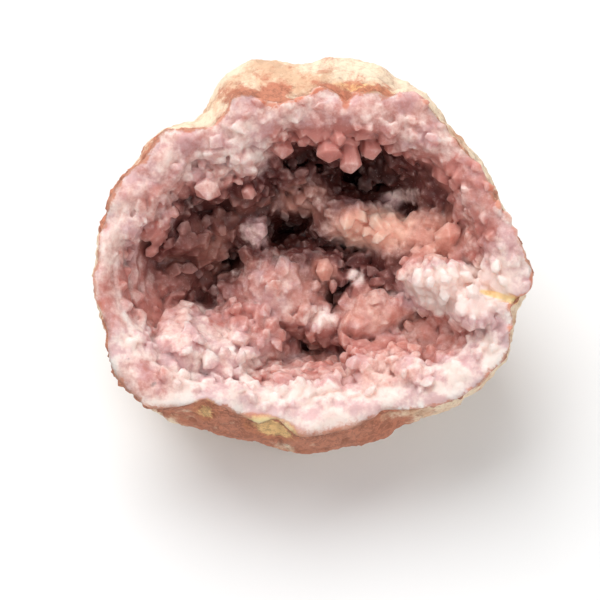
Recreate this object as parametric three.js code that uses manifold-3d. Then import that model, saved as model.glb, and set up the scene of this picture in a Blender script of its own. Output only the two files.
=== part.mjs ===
// A half of a natural geode nodule, lying on its rounded back with the hollow open upwards.
//
// Two pieces: the shell, which is the rind with the massive quartz band of its broken rim, and the
// crystal crust that lines the hollow. Millimetres, +Z up, the shell's flat underside on z = 0.
//
// The shape is worked out in the frame of the broken rim: u to the right, v up the opening and w out
// of the hollow. That frame is leaned back from upright by REST_LEAN, so w points up and forwards (-Y).

import * as THREE from "three";
import { mergeVertices } from "three/addons/utils/BufferGeometryUtils.js";
import Module from "manifold-3d";

const wasm = await Module();
wasm.setup();

// ---- Driving sizes -------------------------------------------------------------------------------

const REST_LEAN = THREE.MathUtils.degToRad(24); // the opening's normal, from the vertical towards -Y
const BACK_DEPTH = 42; // from the rim to the back of the nodule
const HOLLOW_DEPTH = 20; // from the rim to the floor of the hollow, between its lumps and pits
const WALL_STEEPNESS = 4; // power of the hollow's profile: higher is a flatter floor, steeper walls
const BACK_ROUNDNESS = 2.4; // power of the back's profile: 2 is a ball, higher is boxier
const BELLY_TURN = 0.3; // share of the way down at which the outside reaches its widest
const RIM_CROWN = 1.1; // the broken band stands this much proud between its two edges
const RIM_DROP = 0.8; // and falls this much to the rind
const EDGE_SETTLE = 0.06; // share of the hollow's radius over which its lumps settle to the rim's height
const CRUST_THICKNESS = 2.6; // of the crystal crust under its crystals
const CRUST_EDGE_THICKNESS = 1.4; // at the rim
const CRUST_THINNING = 0.2; // share of the hollow's radius over which it thins out to that
const GAP = 0.4; // left between crust and shell
const REBATE = 0.4; // the step in the rim that the crust's edge sits in
const STEEPEST = 2.6; // an upright measure through the crust is at most so many times its thickness
const FACET_TOLERANCE = 0.1; // slivers thinner than this are merged into their neighbours
const BASE_CUT = -39; // height, below the rim's centre, of the flat that the stone rests on
const ORIGIN = new THREE.Vector3(-0.73, 5.48, BASE_CUT); // the flat, under the middle of the stone

// How the rim rises and falls around the opening: [height, times around, phase].
const RIM_WAVES = [
  [1.1, 2, 0.6],
  [0.8, 3, 2],
  [0.4, 7, 0],
];

// Unevenness: its height, the size of its bumps, and a seed. The back's swells come in over a share
// of the way down, and the lining's die out over a share of the hollow's radius.
const RIM_GRAIN = { height: 0.5, size: 3, seed: 5 };
const LINING_GRAIN = { height: 0.7, size: 2.6, seed: 9, calm: 0.125 };
const BACK_SWELLS = [
  { height: 1.6, size: 16, seed: 7 },
  { height: 0.7, size: 7, seed: 3 },
];
const BACK_CALM = 0.2;

const COLUMNS = 44; // grid lines around the opening
const HOLLOW_RINGS = 9; // grid lines from the middle of the hollow to the rim
const RIM_RINGS = 2; // and across the broken band
const BACK_RINGS = 9; // and from the rim to the middle of the back
const WALL_RINGS = 1.35; // a higher power crowds the hollow's rings on its wall

// Outlines in the rim's frame, as [u, v], anticlockwise from the right.
const WIDEST_OUTLINE = [
  [43, -3], [42, 0], [39, 5.5], [37, 11], [33.5, 20], [28, 25], [23.5, 31.5], [18, 35.5],
  [14, 38.5], [6.5, 39.5], [-4, 39], [-11, 39.5], [-17.5, 36.5], [-20.5, 31], [-22, 28],
  [-27, 26.5], [-31.5, 24], [-33.5, 19.5], [-38, 17], [-41, 10], [-42.5, 3.5], [-43.5, -3],
  [-42, -8.5], [-41, -13], [-40.5, -20.5], [-36, -27], [-27, -32], [-17, -35.5], [-8.5, -38],
  [-2.5, -40.5], [7, -39.5], [15, -37], [18, -34], [27, -31], [33.5, -24.5], [38, -18.5],
  [39.5, -12.5], [42, -6],
];
const RIND_EDGE = [
  [42, -2.5], [40.5, 1], [38, 5], [35.5, 10], [33.5, 15], [31, 18.5], [27, 21.5], [24.5, 25.5],
  [21.5, 29], [16.5, 30], [12, 32], [8.5, 31.5], [6.5, 29], [4, 31.5], [2, 32.5], [-1, 30.5],
  [-5, 30], [-8.5, 28.5], [-11, 30.5], [-15, 30.5], [-16.5, 27.5], [-19, 25], [-23, 24.5],
  [-28, 24], [-30.5, 21.5], [-32, 18], [-34.5, 16.5], [-37, 13.5], [-39, 9], [-40.5, 4],
  [-41.5, -1], [-41.3, -5], [-40, -9.5], [-39.2, -13.5], [-38, -19.5], [-36, -23.5],
  [-32.5, -27], [-28, -28], [-22.5, -27.5], [-20.5, -26.5], [-18, -28], [-13, -30],
  [-10.5, -31.5], [-7, -30.5], [-4, -32.5], [-1.5, -34], [3.5, -33.5], [7, -32.5],
  [10.5, -31], [13, -29], [16, -28.5], [20, -28.5], [24, -27.5], [28.5, -26], [32, -23.5],
  [36, -20], [37.3, -17.5], [38.2, -12], [37, -9.5], [39.5, -7], [41.3, -5.5],
];
const HOLLOW_EDGE = [
  [35, 0.5], [34, 3.5], [32, 8], [30, 12], [26.5, 17.5], [21.5, 21.5], [16.5, 24], [12, 25],
  [7, 24.5], [0.5, 24.5], [-5, 26], [-8.5, 23.5], [-13, 22], [-18, 20.5], [-23, 20],
  [-27, 15.5], [-31, 11], [-34.5, 7], [-37.5, 3.5], [-39, -1], [-38, -6], [-36, -11.5],
  [-33, -16], [-29, -19.5], [-23, -22], [-17, -23.5], [-12, -25.5], [-6, -27.5], [0, -27.5],
  [5, -26.5], [11, -24.5], [17, -23.5], [23, -22], [29, -19.5], [34, -15.5], [35.8, -12.5],
  [35, -9.5], [35.5, -5],
];

// Rounded lumps of the lining: [u, v, half length, half width, turn in degrees, height of the top, fall].
// A lump falls by its last number at its own outline, and four times that at twice the distance.
const LUMPS = [
  [-7, -6.1, 7.5, 7, 0, -9, 7], // the large one left of the middle
  [12, -10.8, 7, 5, 20, -11, 7], // its neighbour, lower right
  [1.5, -12.2, 4, 3, 0, -12, 6],
  [2.5, -2.3, 3.3, 4, 0, -13.5, 7],
  [8.2, -3.6, 2, 2, 0, -15, 5],
  [7.2, 6.8, 5.5, 4, 10, -10, 8], // the ridge across the upper middle
  [16.7, 5, 6.5, 5, -15, -9, 8],
  [24.3, 4.4, 6, 6, 0, -7.5, 8],
  [18.6, 0, 5, 3.5, 0, -9, 8],
  [23.8, -3.8, 5.5, 4.5, 0, -2.5, 10], // the pale lip that reaches in from the right
  [30, -8, 8, 3.5, -14, -1.2, 10],
  [4.4, 24, 5.5, 4.5, 0, -2.5, 9], // lumps under the upper rim
  [-20.3, 18, 4.5, 4.5, 0, -5, 7],
  [-13.7, 20.5, 5.5, 5, 0, -2.5, 8],
  [-7, 19.6, 5, 5, 0, -8.5, 7],
  [-13, 14.4, 3.2, 3.2, 0, -7, 8],
  [-30.8, 8.7, 5, 5, 0, -3.5, 8],
  [-28, 5, 4, 4, 0, -7, 7],
  [-23.2, 2.5, 6, 5, 0, -13, 7], // and down the left wall
  [-17.1, 4.4, 5, 5, 0, -13, 7],
  [-10.8, 4.9, 3.5, 4, 0, -12, 7],
  [-28.9, -5.1, 6.5, 5, 0, -12, 7],
  [-10.8, 11, 6, 5, 0, -15, 6],
  [-0.4, 12, 6, 5, 0, -17, 6],
  [-26.6, -16.9, 5.5, 5, 0, -2.5, 8], // along the lower rim
  [-19.8, -18.4, 6, 4.5, 0, -3, 8],
  [-14, -14.3, 4, 3.5, 0, -7.5, 8],
  [-11.8, -17.5, 5.5, 4, 0, -7, 8],
  [-18.4, -22.2, 6, 4, 0, -1, 8],
  [-5.1, -26.6, 7, 3.5, 0, -0.5, 8],
  [3.8, -24.7, 3.2, 3, 0, -2, 8],
  [11.4, -21.7, 6, 4, 15, -4.5, 8],
  [18.2, -21.7, 4, 4, 0, -1, 8],
  [22.4, -14.6, 7, 4.5, 0, -14, 6],
  [16.7, -17.5, 5, 3, 0, -11, 6],
  [16.7, 17.1, 6, 4, -10, -18, 6],
  [17.1, 12, 4.5, 3, 30, -17, 6],
  [25.3, 12.9, 5, 6, 0, -8, 7], // down the right wall
  [31, 4.4, 4, 6, 0, -5, 8],
];

// Pits between the lumps: [u, v, half length, half width, turn in degrees, depth].
const PITS = [
  [-5.5, 4.9, 2.8, 3, 0, 12],
  [7.2, 15.8, 4.5, 3, 15, 12],
  [13.9, 20.5, 4, 3, -20, 8],
  [-0.4, 19, 5, 1.8, 12, 7],
  [-16.5, -1.3, 3.5, 3, 0, 9],
  [-23.2, -6.5, 3, 4, 0, 7],
  [4.9, -8, 2.5, 1.8, 0, 6],
  [-4.2, -17.1, 4.5, 3, 0, 9],
  [10.6, 0.6, 5, 2.5, -8, 8],
  [21.5, 9.5, 3.5, 3, 0, 8],
  [2.5, -16.5, 3, 1.8, 0, 5],
];
const PIT_POWER = 2; // how square a pit's walls are
const LUMP_BLEND = 1.6; // height over which two lumps melt into each other

// Crystals that stand out of the crust: [u, v, w of the foot, lean u, v, w, radius, length].
const LARGE_CRYSTALS = [
  [6.6, 25, -4.5, 0.1, -1, 0.12, 2.5, 8], // the pair that hangs from the upper rim
  [2.6, 24.5, -4, 0.15, -1, 0.25, 2.6, 5.5],
  [0.4, 25.5, -4.5, -0.6, -0.8, 0.1, 1.2, 4.5],
  [-6, 24.5, -6, 0.1, -1, 0.4, 2.2, 5],
  [10.5, 25, -5, 0.2, -1, 0.3, 2, 5.5],
  [17.2, -26, -4, 0.25, 0.9, 0.55, 2.8, 7], // those that rise from the lower rim
  [3.4, -27, -4, 0.1, 0.8, 0.6, 2.4, 6],
  [10.6, -25, -6, 0, 0.8, 0.6, 2.6, 6],
  [-26.8, -20, -6, -0.1, 0.7, 0.7, 3, 7],
  [-14, -18.5, -9, 0, 0.8, 0.6, 2, 6],
  [26.2, 0, -9, 0, 0.85, 0.5, 3, 7.5], // the domed one right of the middle
  [2.6, -3.5, -16, 0, 0.4, 0.9, 3, 5],
  [-11, 4, -15, 0.2, 0.4, 0.9, 2.2, 5],
  [16, 11, -20, 0.3, 0.5, 0.8, 2.2, 5],
  [-20, 16, -8, 0, -0.6, 0.8, 2.8, 6],
  [-12.6, 15.5, -8, 0.1, -0.7, 0.6, 1.8, 4.5],
];
const SPOTS_DRAWN = 4000; // tries at a spot for a small crystal
const SMALL_CRYSTAL_SPACING = 5.8; // none is closer to another than this
const OUTERMOST_CRYSTAL = 0.97; // share of the way to the rim
const WALL_CROWDING = 0.35; // a lower power draws more of the spots on the walls
const SMALL_CRYSTAL_RADIUS = [2.2, 3.6]; // at its buried foot
const SMALL_CRYSTAL_STAND = [1.8, 3.8]; // how far its point stands out of the crust
const CRYSTAL_ROOT = 1.6; // how deep a small crystal's foot is buried
const LEAN = 0.9; // how much a crystal strays from square to the lining
const TIP_SHARE = 0.95; // height of a large crystal's point, in its radii

// ---- Plain mathematics ---------------------------------------------------------------------------

const lerp = THREE.MathUtils.lerp;
const clamp = THREE.MathUtils.clamp;
const smooth = (x) => THREE.MathUtils.smoothstep(x, 0, 1);

// A repeatable number from 0 to 1 for any number put in.
function hash(n) {
  const x = Math.sin(n) * 43758.5453;
  return x - Math.floor(x);
}

// Value noise from -1 to 1, smooth between the points of a unit lattice.
function noise(x, y, z) {
  const [i, j, k] = [Math.floor(x), Math.floor(y), Math.floor(z)];
  const [a, b, c] = [smooth(x - i), smooth(y - j), smooth(z - k)];
  const corner = (di, dj, dk) => hash((i + di) * 127.1 + (j + dj) * 311.7 + (k + dk) * 74.7);
  const edge = (dj, dk) => lerp(corner(0, dj, dk), corner(1, dj, dk), a);
  const face = (dk) => lerp(edge(0, dk), edge(1, dk), b);
  return 2 * lerp(face(0), face(1), c) - 1;
}

// The larger of two heights, rounded where they meet.
function blendedMax(a, b, width) {
  const near = Math.max(width - Math.abs(a - b), 0) / width;
  return Math.max(a, b) + (near * near * width) / 4;
}

// An outline as a function: its distance from the middle at any angle.
function radiusOf(outline) {
  const points = outline
    .map(([u, v]) => [THREE.MathUtils.euclideanModulo(Math.atan2(v, u), 2 * Math.PI), Math.hypot(u, v)])
    .sort((p, q) => p[0] - q[0]);
  const last = points.length - 1;
  const before = [points[last][0] - 2 * Math.PI, points[last][1]];
  const after = [points[0][0] + 2 * Math.PI, points[0][1]];
  const knots = [before, ...points, after];
  return (angle) => {
    const a = THREE.MathUtils.euclideanModulo(angle, 2 * Math.PI);
    const i = knots.findIndex((knot) => knot[0] > a);
    const [[a0, r0], [a1, r1]] = [knots[i - 1], knots[i]];
    return lerp(r0, r1, (a - a0) / (a1 - a0));
  };
}

const widest = radiusOf(WIDEST_OUTLINE);
const rindEdge = radiusOf(RIND_EDGE);
const hollowEdge = radiusOf(HOLLOW_EDGE);

// From the rim's frame to the part's frame.
function place(u, v, w) {
  const [c, s] = [Math.cos(REST_LEAN), Math.sin(REST_LEAN)];
  return new THREE.Vector3(u, v * c - w * s, v * s + w * c).sub(ORIGIN);
}

// ---- The broken face: the rim band and the lining of the hollow, as a height over u and v ---------

function rimHeight(angle) {
  return RIM_WAVES.reduce((w, [height, times, phase]) => w + height * Math.sin(times * angle + phase), 0);
}

function grain(u, v, { height, size, seed }) {
  return height * noise(u / size, v / size, seed);
}

// Distance from a lump's or pit's middle, 1 at its outline, squared.
function ovalDistance(u, v, [cu, cv, length, width, turn]) {
  const t = THREE.MathUtils.degToRad(turn);
  const [du, dv] = [u - cu, v - cv];
  const along = (du * Math.cos(t) + dv * Math.sin(t)) / length;
  const across = (dv * Math.cos(t) - du * Math.sin(t)) / width;
  return along * along + across * across;
}

function faceHeight(u, v) {
  const angle = Math.atan2(v, u);
  const r = Math.hypot(u, v);
  const [inner, outer] = [hollowEdge(angle), rindEdge(angle)];
  const rim = rimHeight(angle);
  if (r >= inner) {
    const across = clamp((r - inner) / (outer - inner), 0, 1);
    const crown = (RIM_CROWN + grain(u, v, RIM_GRAIN)) * Math.sin(Math.PI * across);
    return rim + crown - RIM_DROP * across;
  }
  const share = r / inner;
  let floor = -HOLLOW_DEPTH;
  for (const pit of PITS) floor -= pit[5] * Math.exp(-(ovalDistance(u, v, pit) ** PIT_POWER));
  let height = lerp(floor, rim, share ** WALL_STEEPNESS);
  for (const lump of LUMPS) {
    const top = lump[5] - lump[6] * ovalDistance(u, v, lump);
    height = blendedMax(height, top, LUMP_BLEND);
  }
  const rough = grain(u, v, LINING_GRAIN) * smooth((1 - share) / LINING_GRAIN.calm);
  const free = Math.min(height + rough, rim + RIM_CROWN);
  return lerp(rim, free, smooth((1 - share) / EDGE_SETTLE));
}

function crustThickness(share) {
  return lerp(CRUST_EDGE_THICKNESS, CRUST_THICKNESS, smooth((1 - share) / CRUST_THINNING));
}

// Rings lie closer together towards the wall, which is steep.
const hollowShare = (ring) => 1 - (1 - ring / HOLLOW_RINGS) ** WALL_RINGS;

// The way that the lining faces at a point.
function liningNormal(u, v) {
  const step = 0.8;
  const du = (faceHeight(u + step, v) - faceHeight(u - step, v)) / (2 * step);
  const dv = (faceHeight(u, v + step) - faceHeight(u, v - step)) / (2 * step);
  return new THREE.Vector3(-du, -dv, 1).normalize();
}

// A point of the lining, or one straight below it, deeper by sink measured square to the lining.
function hollowPoint(angle, share, sink) {
  const r = share * hollowEdge(angle);
  const [u, v] = [r * Math.cos(angle), r * Math.sin(angle)];
  const upright = Math.min(1 / liningNormal(u, v).z, STEEPEST);
  return place(u, v, faceHeight(u, v) - sink * upright);
}

// ---- The outside: from the rind's edge over the belly to the middle of the back -------------------

function backPoint(angle, turn) {
  const down = Math.sin((turn * Math.PI) / 2);
  const swell = smooth(down / BELLY_TURN);
  const wide = lerp(rindEdge(angle), widest(angle), swell);
  const round = Math.sqrt(Math.max(1 - down ** BACK_ROUNDNESS, 0));
  const r = wide * lerp(1, round, smooth(down / (2 * BELLY_TURN)));
  const w = (rimHeight(angle) - RIM_DROP) * (1 - down) ** 2 - BACK_DEPTH * down;
  const [u, v] = [r * Math.cos(angle), r * Math.sin(angle)];
  const swells = BACK_SWELLS.reduce(
    (sum, { height, size, seed }) => sum + height * noise(u / size + seed, v / size, w / size),
    0,
  );
  const lumpiness = 1 + (swells / BACK_DEPTH) * smooth(turn / BACK_CALM);
  return place(u * lumpiness, v * lumpiness, w * lerp(1, lumpiness, down));
}

// ---- Solids --------------------------------------------------------------------------------------

// A closed surface of rings and columns: a ball's grid, with each of its points moved to its place.
function ringedGeometry(rings, pointAt) {
  const geometry = new THREE.SphereGeometry(1, COLUMNS, rings);
  const position = geometry.getAttribute("position");
  for (let i = 0; i < position.count; i++) {
    const column = i % (COLUMNS + 1);
    const ring = Math.floor(i / (COLUMNS + 1));
    const angle = ((column % COLUMNS) / COLUMNS) * 2 * Math.PI;
    position.setXYZ(i, ...pointAt(angle, ring));
  }
  return geometry;
}

function solidOf(geometry) {
  const bare = geometry.clone();
  bare.deleteAttribute("normal");
  bare.deleteAttribute("uv");
  const merged = mergeVertices(bare, 1e-3);
  return new wasm.Manifold(
    new wasm.Mesh({
      numProp: 3,
      vertProperties: new Float32Array(merged.getAttribute("position").array),
      triVerts: new Uint32Array(merged.index.array),
    }),
  );
}

function geometryOf(solid) {
  const { numProp, vertProperties, triVerts } = solid.getMesh();
  const corners = new Float32Array((vertProperties.length / numProp) * 3);
  for (let i = 0; i * numProp < vertProperties.length; i++) {
    corners.set(vertProperties.subarray(i * numProp, i * numProp + 3), i * 3);
  }
  const geometry = new THREE.BufferGeometry();
  geometry.setAttribute("position", new THREE.BufferAttribute(corners, 3));
  geometry.setIndex(new THREE.BufferAttribute(triVerts, 1));
  return geometry;
}

// The shell with room for the crust. The clearance makes it stand that much closer to the crust.
function shellSolid(clearance) {
  const firstRimRing = HOLLOW_RINGS + 1;
  const rindRing = firstRimRing + RIM_RINGS;
  const geometry = ringedGeometry(rindRing + BACK_RINGS, (angle, ring) => {
    if (ring <= HOLLOW_RINGS) {
      const share = hollowShare(ring);
      return hollowPoint(angle, share, crustThickness(share) - clearance);
    }
    if (ring <= rindRing) {
      const across = (ring - firstRimRing) / RIM_RINGS;
      const start = hollowEdge(angle) + REBATE - clearance / 2;
      const r = lerp(start, rindEdge(angle), across);
      const [u, v] = [r * Math.cos(angle), r * Math.sin(angle)];
      return place(u, v, faceHeight(u, v) + clearance);
    }
    return backPoint(angle, (ring - rindRing) / BACK_RINGS);
  });
  return solidOf(geometry);
}

function crustSheet() {
  const lastRing = 2 * HOLLOW_RINGS + 1;
  const geometry = ringedGeometry(lastRing, (angle, ring) => {
    if (ring <= HOLLOW_RINGS) return hollowPoint(angle, hollowShare(ring), 0);
    const share = hollowShare(lastRing - ring);
    return hollowPoint(angle, share, crustThickness(share) - GAP);
  });
  return solidOf(geometry);
}

// Six-sided point, along +Y from its foot.
function pointGeometry(radius, length) {
  return new THREE.ConeGeometry(radius, length, 6).translate(0, length / 2, 0);
}

// Six-sided prism with a six-sided point, along +Y from its foot.
function prismGeometry(radius, length) {
  const profile = [
    [0, 0],
    [radius, 0],
    [radius, length],
    [0, length + radius * TIP_SHARE],
  ];
  return new THREE.LatheGeometry(profile.map(([x, y]) => new THREE.Vector2(x, y)), 6);
}

// A crystal turned from +Y to the direction it grows in, with its foot at a point.
function crystalSolid(crystal, spin, direction, foot) {
  const turn = new THREE.Quaternion().setFromUnitVectors(new THREE.Vector3(0, 1, 0), direction);
  return solidOf(crystal.rotateY(spin).applyQuaternion(turn).translate(foot.x, foot.y, foot.z));
}

// A direction given in the rim's frame, in the part's frame.
function heading(u, v, w) {
  return place(u, v, w).sub(place(0, 0, 0)).normalize();
}

// Spots for the small crystals: drawn at random over the lining, and kept where no other is close.
function crystalSpots() {
  const spots = [];
  for (let i = 0; i < SPOTS_DRAWN; i++) {
    const angle = 2 * Math.PI * hash(i * 1.7 + 0.3);
    const share = OUTERMOST_CRYSTAL * hash(i * 2.9 + 5.1) ** WALL_CROWDING;
    const r = share * hollowEdge(angle);
    const [u, v] = [r * Math.cos(angle), r * Math.sin(angle)];
    const spot = new THREE.Vector3(u, v, faceHeight(u, v));
    if (spots.every((other) => other.distanceTo(spot) > SMALL_CRYSTAL_SPACING)) spots.push(spot);
  }
  return spots;
}

function smallCrystals() {
  return crystalSpots().map((spot, i) => {
    const draw = (n) => hash(i * 12.9 + n * 3.7);
    const lean = new THREE.Vector3(draw(1) - 0.5, draw(2) - 0.5, draw(3)).multiplyScalar(LEAN);
    const facing = liningNormal(spot.x, spot.y).add(lean).normalize();
    const foot = spot.addScaledVector(facing, -CRYSTAL_ROOT);
    const length = CRYSTAL_ROOT + lerp(...SMALL_CRYSTAL_STAND, draw(4));
    const crystal = pointGeometry(lerp(...SMALL_CRYSTAL_RADIUS, draw(5)), length);
    return crystalSolid(crystal, draw(6) * Math.PI, heading(...facing), place(...foot));
  });
}

function largeCrystals() {
  return LARGE_CRYSTALS.map(([u, v, w, leanU, leanV, leanW, radius, length], i) =>
    crystalSolid(prismGeometry(radius, length), i, heading(leanU, leanV, leanW), place(u, v, w)),
  );
}

// Everything below the resting flat.
function groundSolid() {
  const size = 200;
  return solidOf(new THREE.BoxGeometry(size, size, size).translate(0, 0, -size / 2));
}

function shellMesh() {
  const solid = shellSolid(0).subtract(groundSolid());
  const material = new THREE.MeshStandardMaterial({ color: 0xd9a77f, roughness: 0.85, metalness: 0 });
  const mesh = new THREE.Mesh(geometryOf(solid), material);
  mesh.name = "shell";
  return mesh;
}

function crustMesh() {
  const grown = wasm.Manifold.union([crustSheet(), ...smallCrystals(), ...largeCrystals()]);
  const pieces = grown.subtract(shellSolid(GAP)).simplify(FACET_TOLERANCE).decompose();
  const solid = pieces.reduce((most, piece) => (piece.volume() > most.volume() ? piece : most));
  const material = new THREE.MeshStandardMaterial({ color: 0xd99c92, roughness: 0.35, metalness: 0 });
  const mesh = new THREE.Mesh(geometryOf(solid), material);
  mesh.name = "crystal_crust";
  return mesh;
}

const geode = new THREE.Group();
geode.add(shellMesh(), crustMesh());

export default geode;
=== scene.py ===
"""The looks of half a geode: a grainy rind, a sugary rim of broken quartz, and a hollow of pink crystals.

The file is laid out as an add-on. Shapes are functions of two parameters, worked out with numpy in
millimetres in the frame of the broken rim (u to the right, v up the opening, w out of the hollow), and are
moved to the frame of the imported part, in metres, as they become meshes. The lining, its crystals and the
broken band are then fused into one skin.
"""

import bpy
import numpy as np
from bpy.props import FloatProperty, FloatVectorProperty, IntProperty, PointerProperty
from mathutils import Matrix, Vector


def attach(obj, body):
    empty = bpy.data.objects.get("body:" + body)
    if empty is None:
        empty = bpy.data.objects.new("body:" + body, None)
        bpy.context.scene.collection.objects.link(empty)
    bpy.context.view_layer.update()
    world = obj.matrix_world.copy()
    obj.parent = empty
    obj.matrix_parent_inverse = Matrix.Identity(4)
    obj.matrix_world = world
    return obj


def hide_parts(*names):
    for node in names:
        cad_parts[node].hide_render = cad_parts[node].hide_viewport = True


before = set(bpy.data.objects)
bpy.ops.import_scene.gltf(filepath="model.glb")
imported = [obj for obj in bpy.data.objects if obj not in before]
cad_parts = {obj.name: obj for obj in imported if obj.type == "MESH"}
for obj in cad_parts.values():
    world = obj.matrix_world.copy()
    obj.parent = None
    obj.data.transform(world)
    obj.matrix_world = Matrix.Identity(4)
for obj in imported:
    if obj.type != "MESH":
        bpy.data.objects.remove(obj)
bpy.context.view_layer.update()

bl_info = {
    "name": "Geode half",
    "version": (1, 0, 0),
    "blender": (4, 5, 0),
    "location": "View3D > Sidebar > Geode",
    "description": "Dresses a geode half: rind, broken rim, crystal lining, druse and a plain stage",
    "category": "Add Mesh",
}

MM = 0.001
TURN = 2 * np.pi
SEED = 11  # of every random draw

# ---- The stone's driving sizes, in millimetres, most of them as in its solids ----------------------

REST_LEAN = np.radians(24)  # the opening's normal, from the vertical towards -Y
BASE_CUT = -39
ORIGIN = np.array([-0.73, 5.48, BASE_CUT])

# The outside. A way down runs from 0 at the rind's edge to 1 at the middle of the back.
BACK_DEPTH = 42
BACK_ROUNDNESS = 2.4  # power of the back's profile
BACK_SWELLS = [(1.6, 16, 7), (0.7, 7, 3)]  # (height, size, seed)
BACK_CALM = 0.2  # way down over which the swells grow
BACK_LENGTH = 1.5  # the whole way down, in depths
BELLY_TURN = 0.3  # share of the depth at which the outside is widest
EDGE_BREAKS = [(0.5, 3.4), (0.1, 1.3)]  # raggedness of the rind's edge: (height, size)
EDGE_BREAKS_SEED = 61
EDGE_DEPTH = 0.025  # way down over which the raggedness fades

# The broken band, from the hollow to the rind.
RIM_WAVES = [(1.1, 2, 0.6), (0.8, 3, 2), (0.4, 7, 0)]  # (height, times around, phase)
RIM_CROWN = 0.7
RIM_RISE = 1.7
RIM_RISE_SWING = 0.5
RIM_ROUNDING = 0.5
RIM_BED = 2.2  # from the band down to its underside
BAND_SWELL = (0.9, 4, 5)  # (height, size, seed)

# The lining of the hollow. A share runs from 0 at its middle to 1 at its edge.
HOLLOW_DEPTH = 20
WALL_STEEPNESS = 4  # power of the bowl's profile
EDGE_SETTLE = 0.06  # share over which lumps and pits settle to the rim
LINING_GRAIN = (0.5, 2.6, 9)  # (height, size, seed)
LINING_CALM = 0.125  # share over which that grain dies out towards the rim
CRUST_THICKNESS = 2.6
CRUST_EDGE_THICKNESS = 1.4
CRUST_THINNING = 0.2  # share over which the crust thins towards its edge
STEEPEST = 2.6  # the most that a thickness grows where it is measured straight down
GAP = 0.4
REBATE = 0.4

# Roughness of the surfaces. Heights are in shares of the surface's grain setting, sizes in millimetres.
RIM_GRAINS = [(0.5, 4.2, 1), (0.35, 2.2, 2), (0.25, 1.1, 4)]  # (height, size, seed)
RIM_GRAIN_LEVEL = 0.6  # what they stand around
RIND_LUMPS = [(1, 3.1), (0.6, 1.2)]  # (height, size)
RIND_LUMPINESS = 1.1
RIND_GRAINS = [(0.8, 2.2, 2, 3), (0.4, 2.0, 1, 8)]  # (height, more of it at the edge, size, seed)
RIND_HOLES = (1.4, 1.2, 2.1, 40)  # (depth, more of it at the edge, size, seed)
RIND_EDGE_REACH = 0.1  # way down over which the edge's roughness fades
DRUSE_GRAINS = [(1.5, 1.5, 6, 5), (0.6, 0.4, 3.1, 6), (0.25, 0.1, 1.5, 7)]  # (lively, calm, size, seed)
DRUSE_LEVEL = 1.1

# Rings of the surfaces' grids.
BED_RINGS, LEDGE_RINGS, OUTSIDE_RINGS = 8, 8, 150
LINING_RINGS, UNDERSIDE_RINGS = 140, 8
LIP_RINGS, BAND_RINGS, BAND_UNDER_RINGS = 5, 40, 12

# The fused quartz.
QUARTZ_TRIANGLES = 195000
EDGE_WEAR = 4  # rounds of smoothing that wear the crystals' edges

# Outlines in the rim's frame, as (u, v), anticlockwise from the right.
WIDEST_OUTLINE = [
    (43, -3), (42, 0), (39, 5.5), (36.4, 11), (32.7, 19.2), (27.6, 24.4), (23.1, 31.2),
    (17.4, 34.6), (13.4, 37.8), (6.5, 39.2), (-4, 37.4), (-11, 39.4), (-17, 35.8), (-20, 30.4),
    (-21.8, 27.3), (-26.4, 25.4), (-31.5, 24), (-33.5, 19.5), (-36.6, 16.4), (-39.6, 10),
    (-41.2, 3.5), (-41.8, -3), (-41, -8.5), (-39.6, -13), (-38.2, -20), (-34.6, -26),
    (-27, -31.6), (-17, -35), (-8.5, -37), (-2.5, -38.8), (7, -37.5), (14.5, -34.8),
    (17.4, -32.4), (26.8, -30.2), (33.5, -24.5),
    (38, -18.5), (39.5, -12.5), (42, -6),
]
RIND_EDGE = [
    (41.4, -2.7), (40.3, 1), (38.8, 3.4), (37.1, 6.4), (35.8, 9), (34.4, 11.8), (32.8, 14.6),
    (31.2, 17.6), (29, 20.4), (26.2, 23), (24.6, 25.2), (23, 27.6), (21, 30), (19, 31.4),
    (16.5, 31.2), (14.4, 30.2), (12, 32), (8.5, 31.5), (6.5, 29), (4, 31.5), (2, 32.5), (-1, 30.5),
    (-5, 30), (-8.5, 28.5), (-11, 30.5), (-15, 30.5), (-16.5, 27.5), (-19, 25), (-23, 24.5),
    (-28, 24), (-30.5, 21.5), (-32, 18), (-34.6, 16.4), (-37.4, 13), (-38.5, 9.6), (-39.6, 6.4),
    (-40.2, 3), (-40.7, -1), (-41.2, -4.5), (-40.8, -8), (-39.8, -11), (-38.8, -14.2), (-37.8, -19.9),
    (-35.6, -24.2), (-32.3, -27.2), (-28.4, -28.6), (-22.5, -27.5), (-20.5, -26.5), (-18, -28), (-13, -30),
    (-10.5, -31.5), (-7, -30.5), (-4, -32.5), (-1.5, -34), (3.5, -33.5), (7, -32.5),
    (10.5, -31), (13, -29), (16, -28.5), (20, -28.5), (24, -27.5), (28.5, -26), (32, -23.5),
    (36, -20), (36.8, -17.4), (38.2, -12), (37, -9.5), (39.5, -7), (41.3, -5.5),
]
HOLLOW_EDGE = [
    (35, 0.5), (34, 3.5), (32, 8), (30, 12), (26.5, 17.5), (21.5, 21.5), (16.5, 24), (12, 25),
    (7, 24.5), (0.5, 24.5), (-5, 26), (-8.5, 23.5), (-13, 22), (-18, 20.5), (-23, 20),
    (-27, 15.5), (-31, 11), (-34, 7), (-36.4, 3.5), (-37.5, -1), (-37.2, -6), (-35.6, -11.5),
    (-33, -16.4), (-29.4, -20.6), (-24, -24), (-17, -24.2), (-12, -25.5), (-6, -27.5), (0, -27.5),
    (5, -26.5), (11, -24.5), (17, -23.5), (23, -22), (29, -19.5), (34, -15.5), (35.8, -12.5),
    (35, -9.5), (35.5, -5),
]

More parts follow.
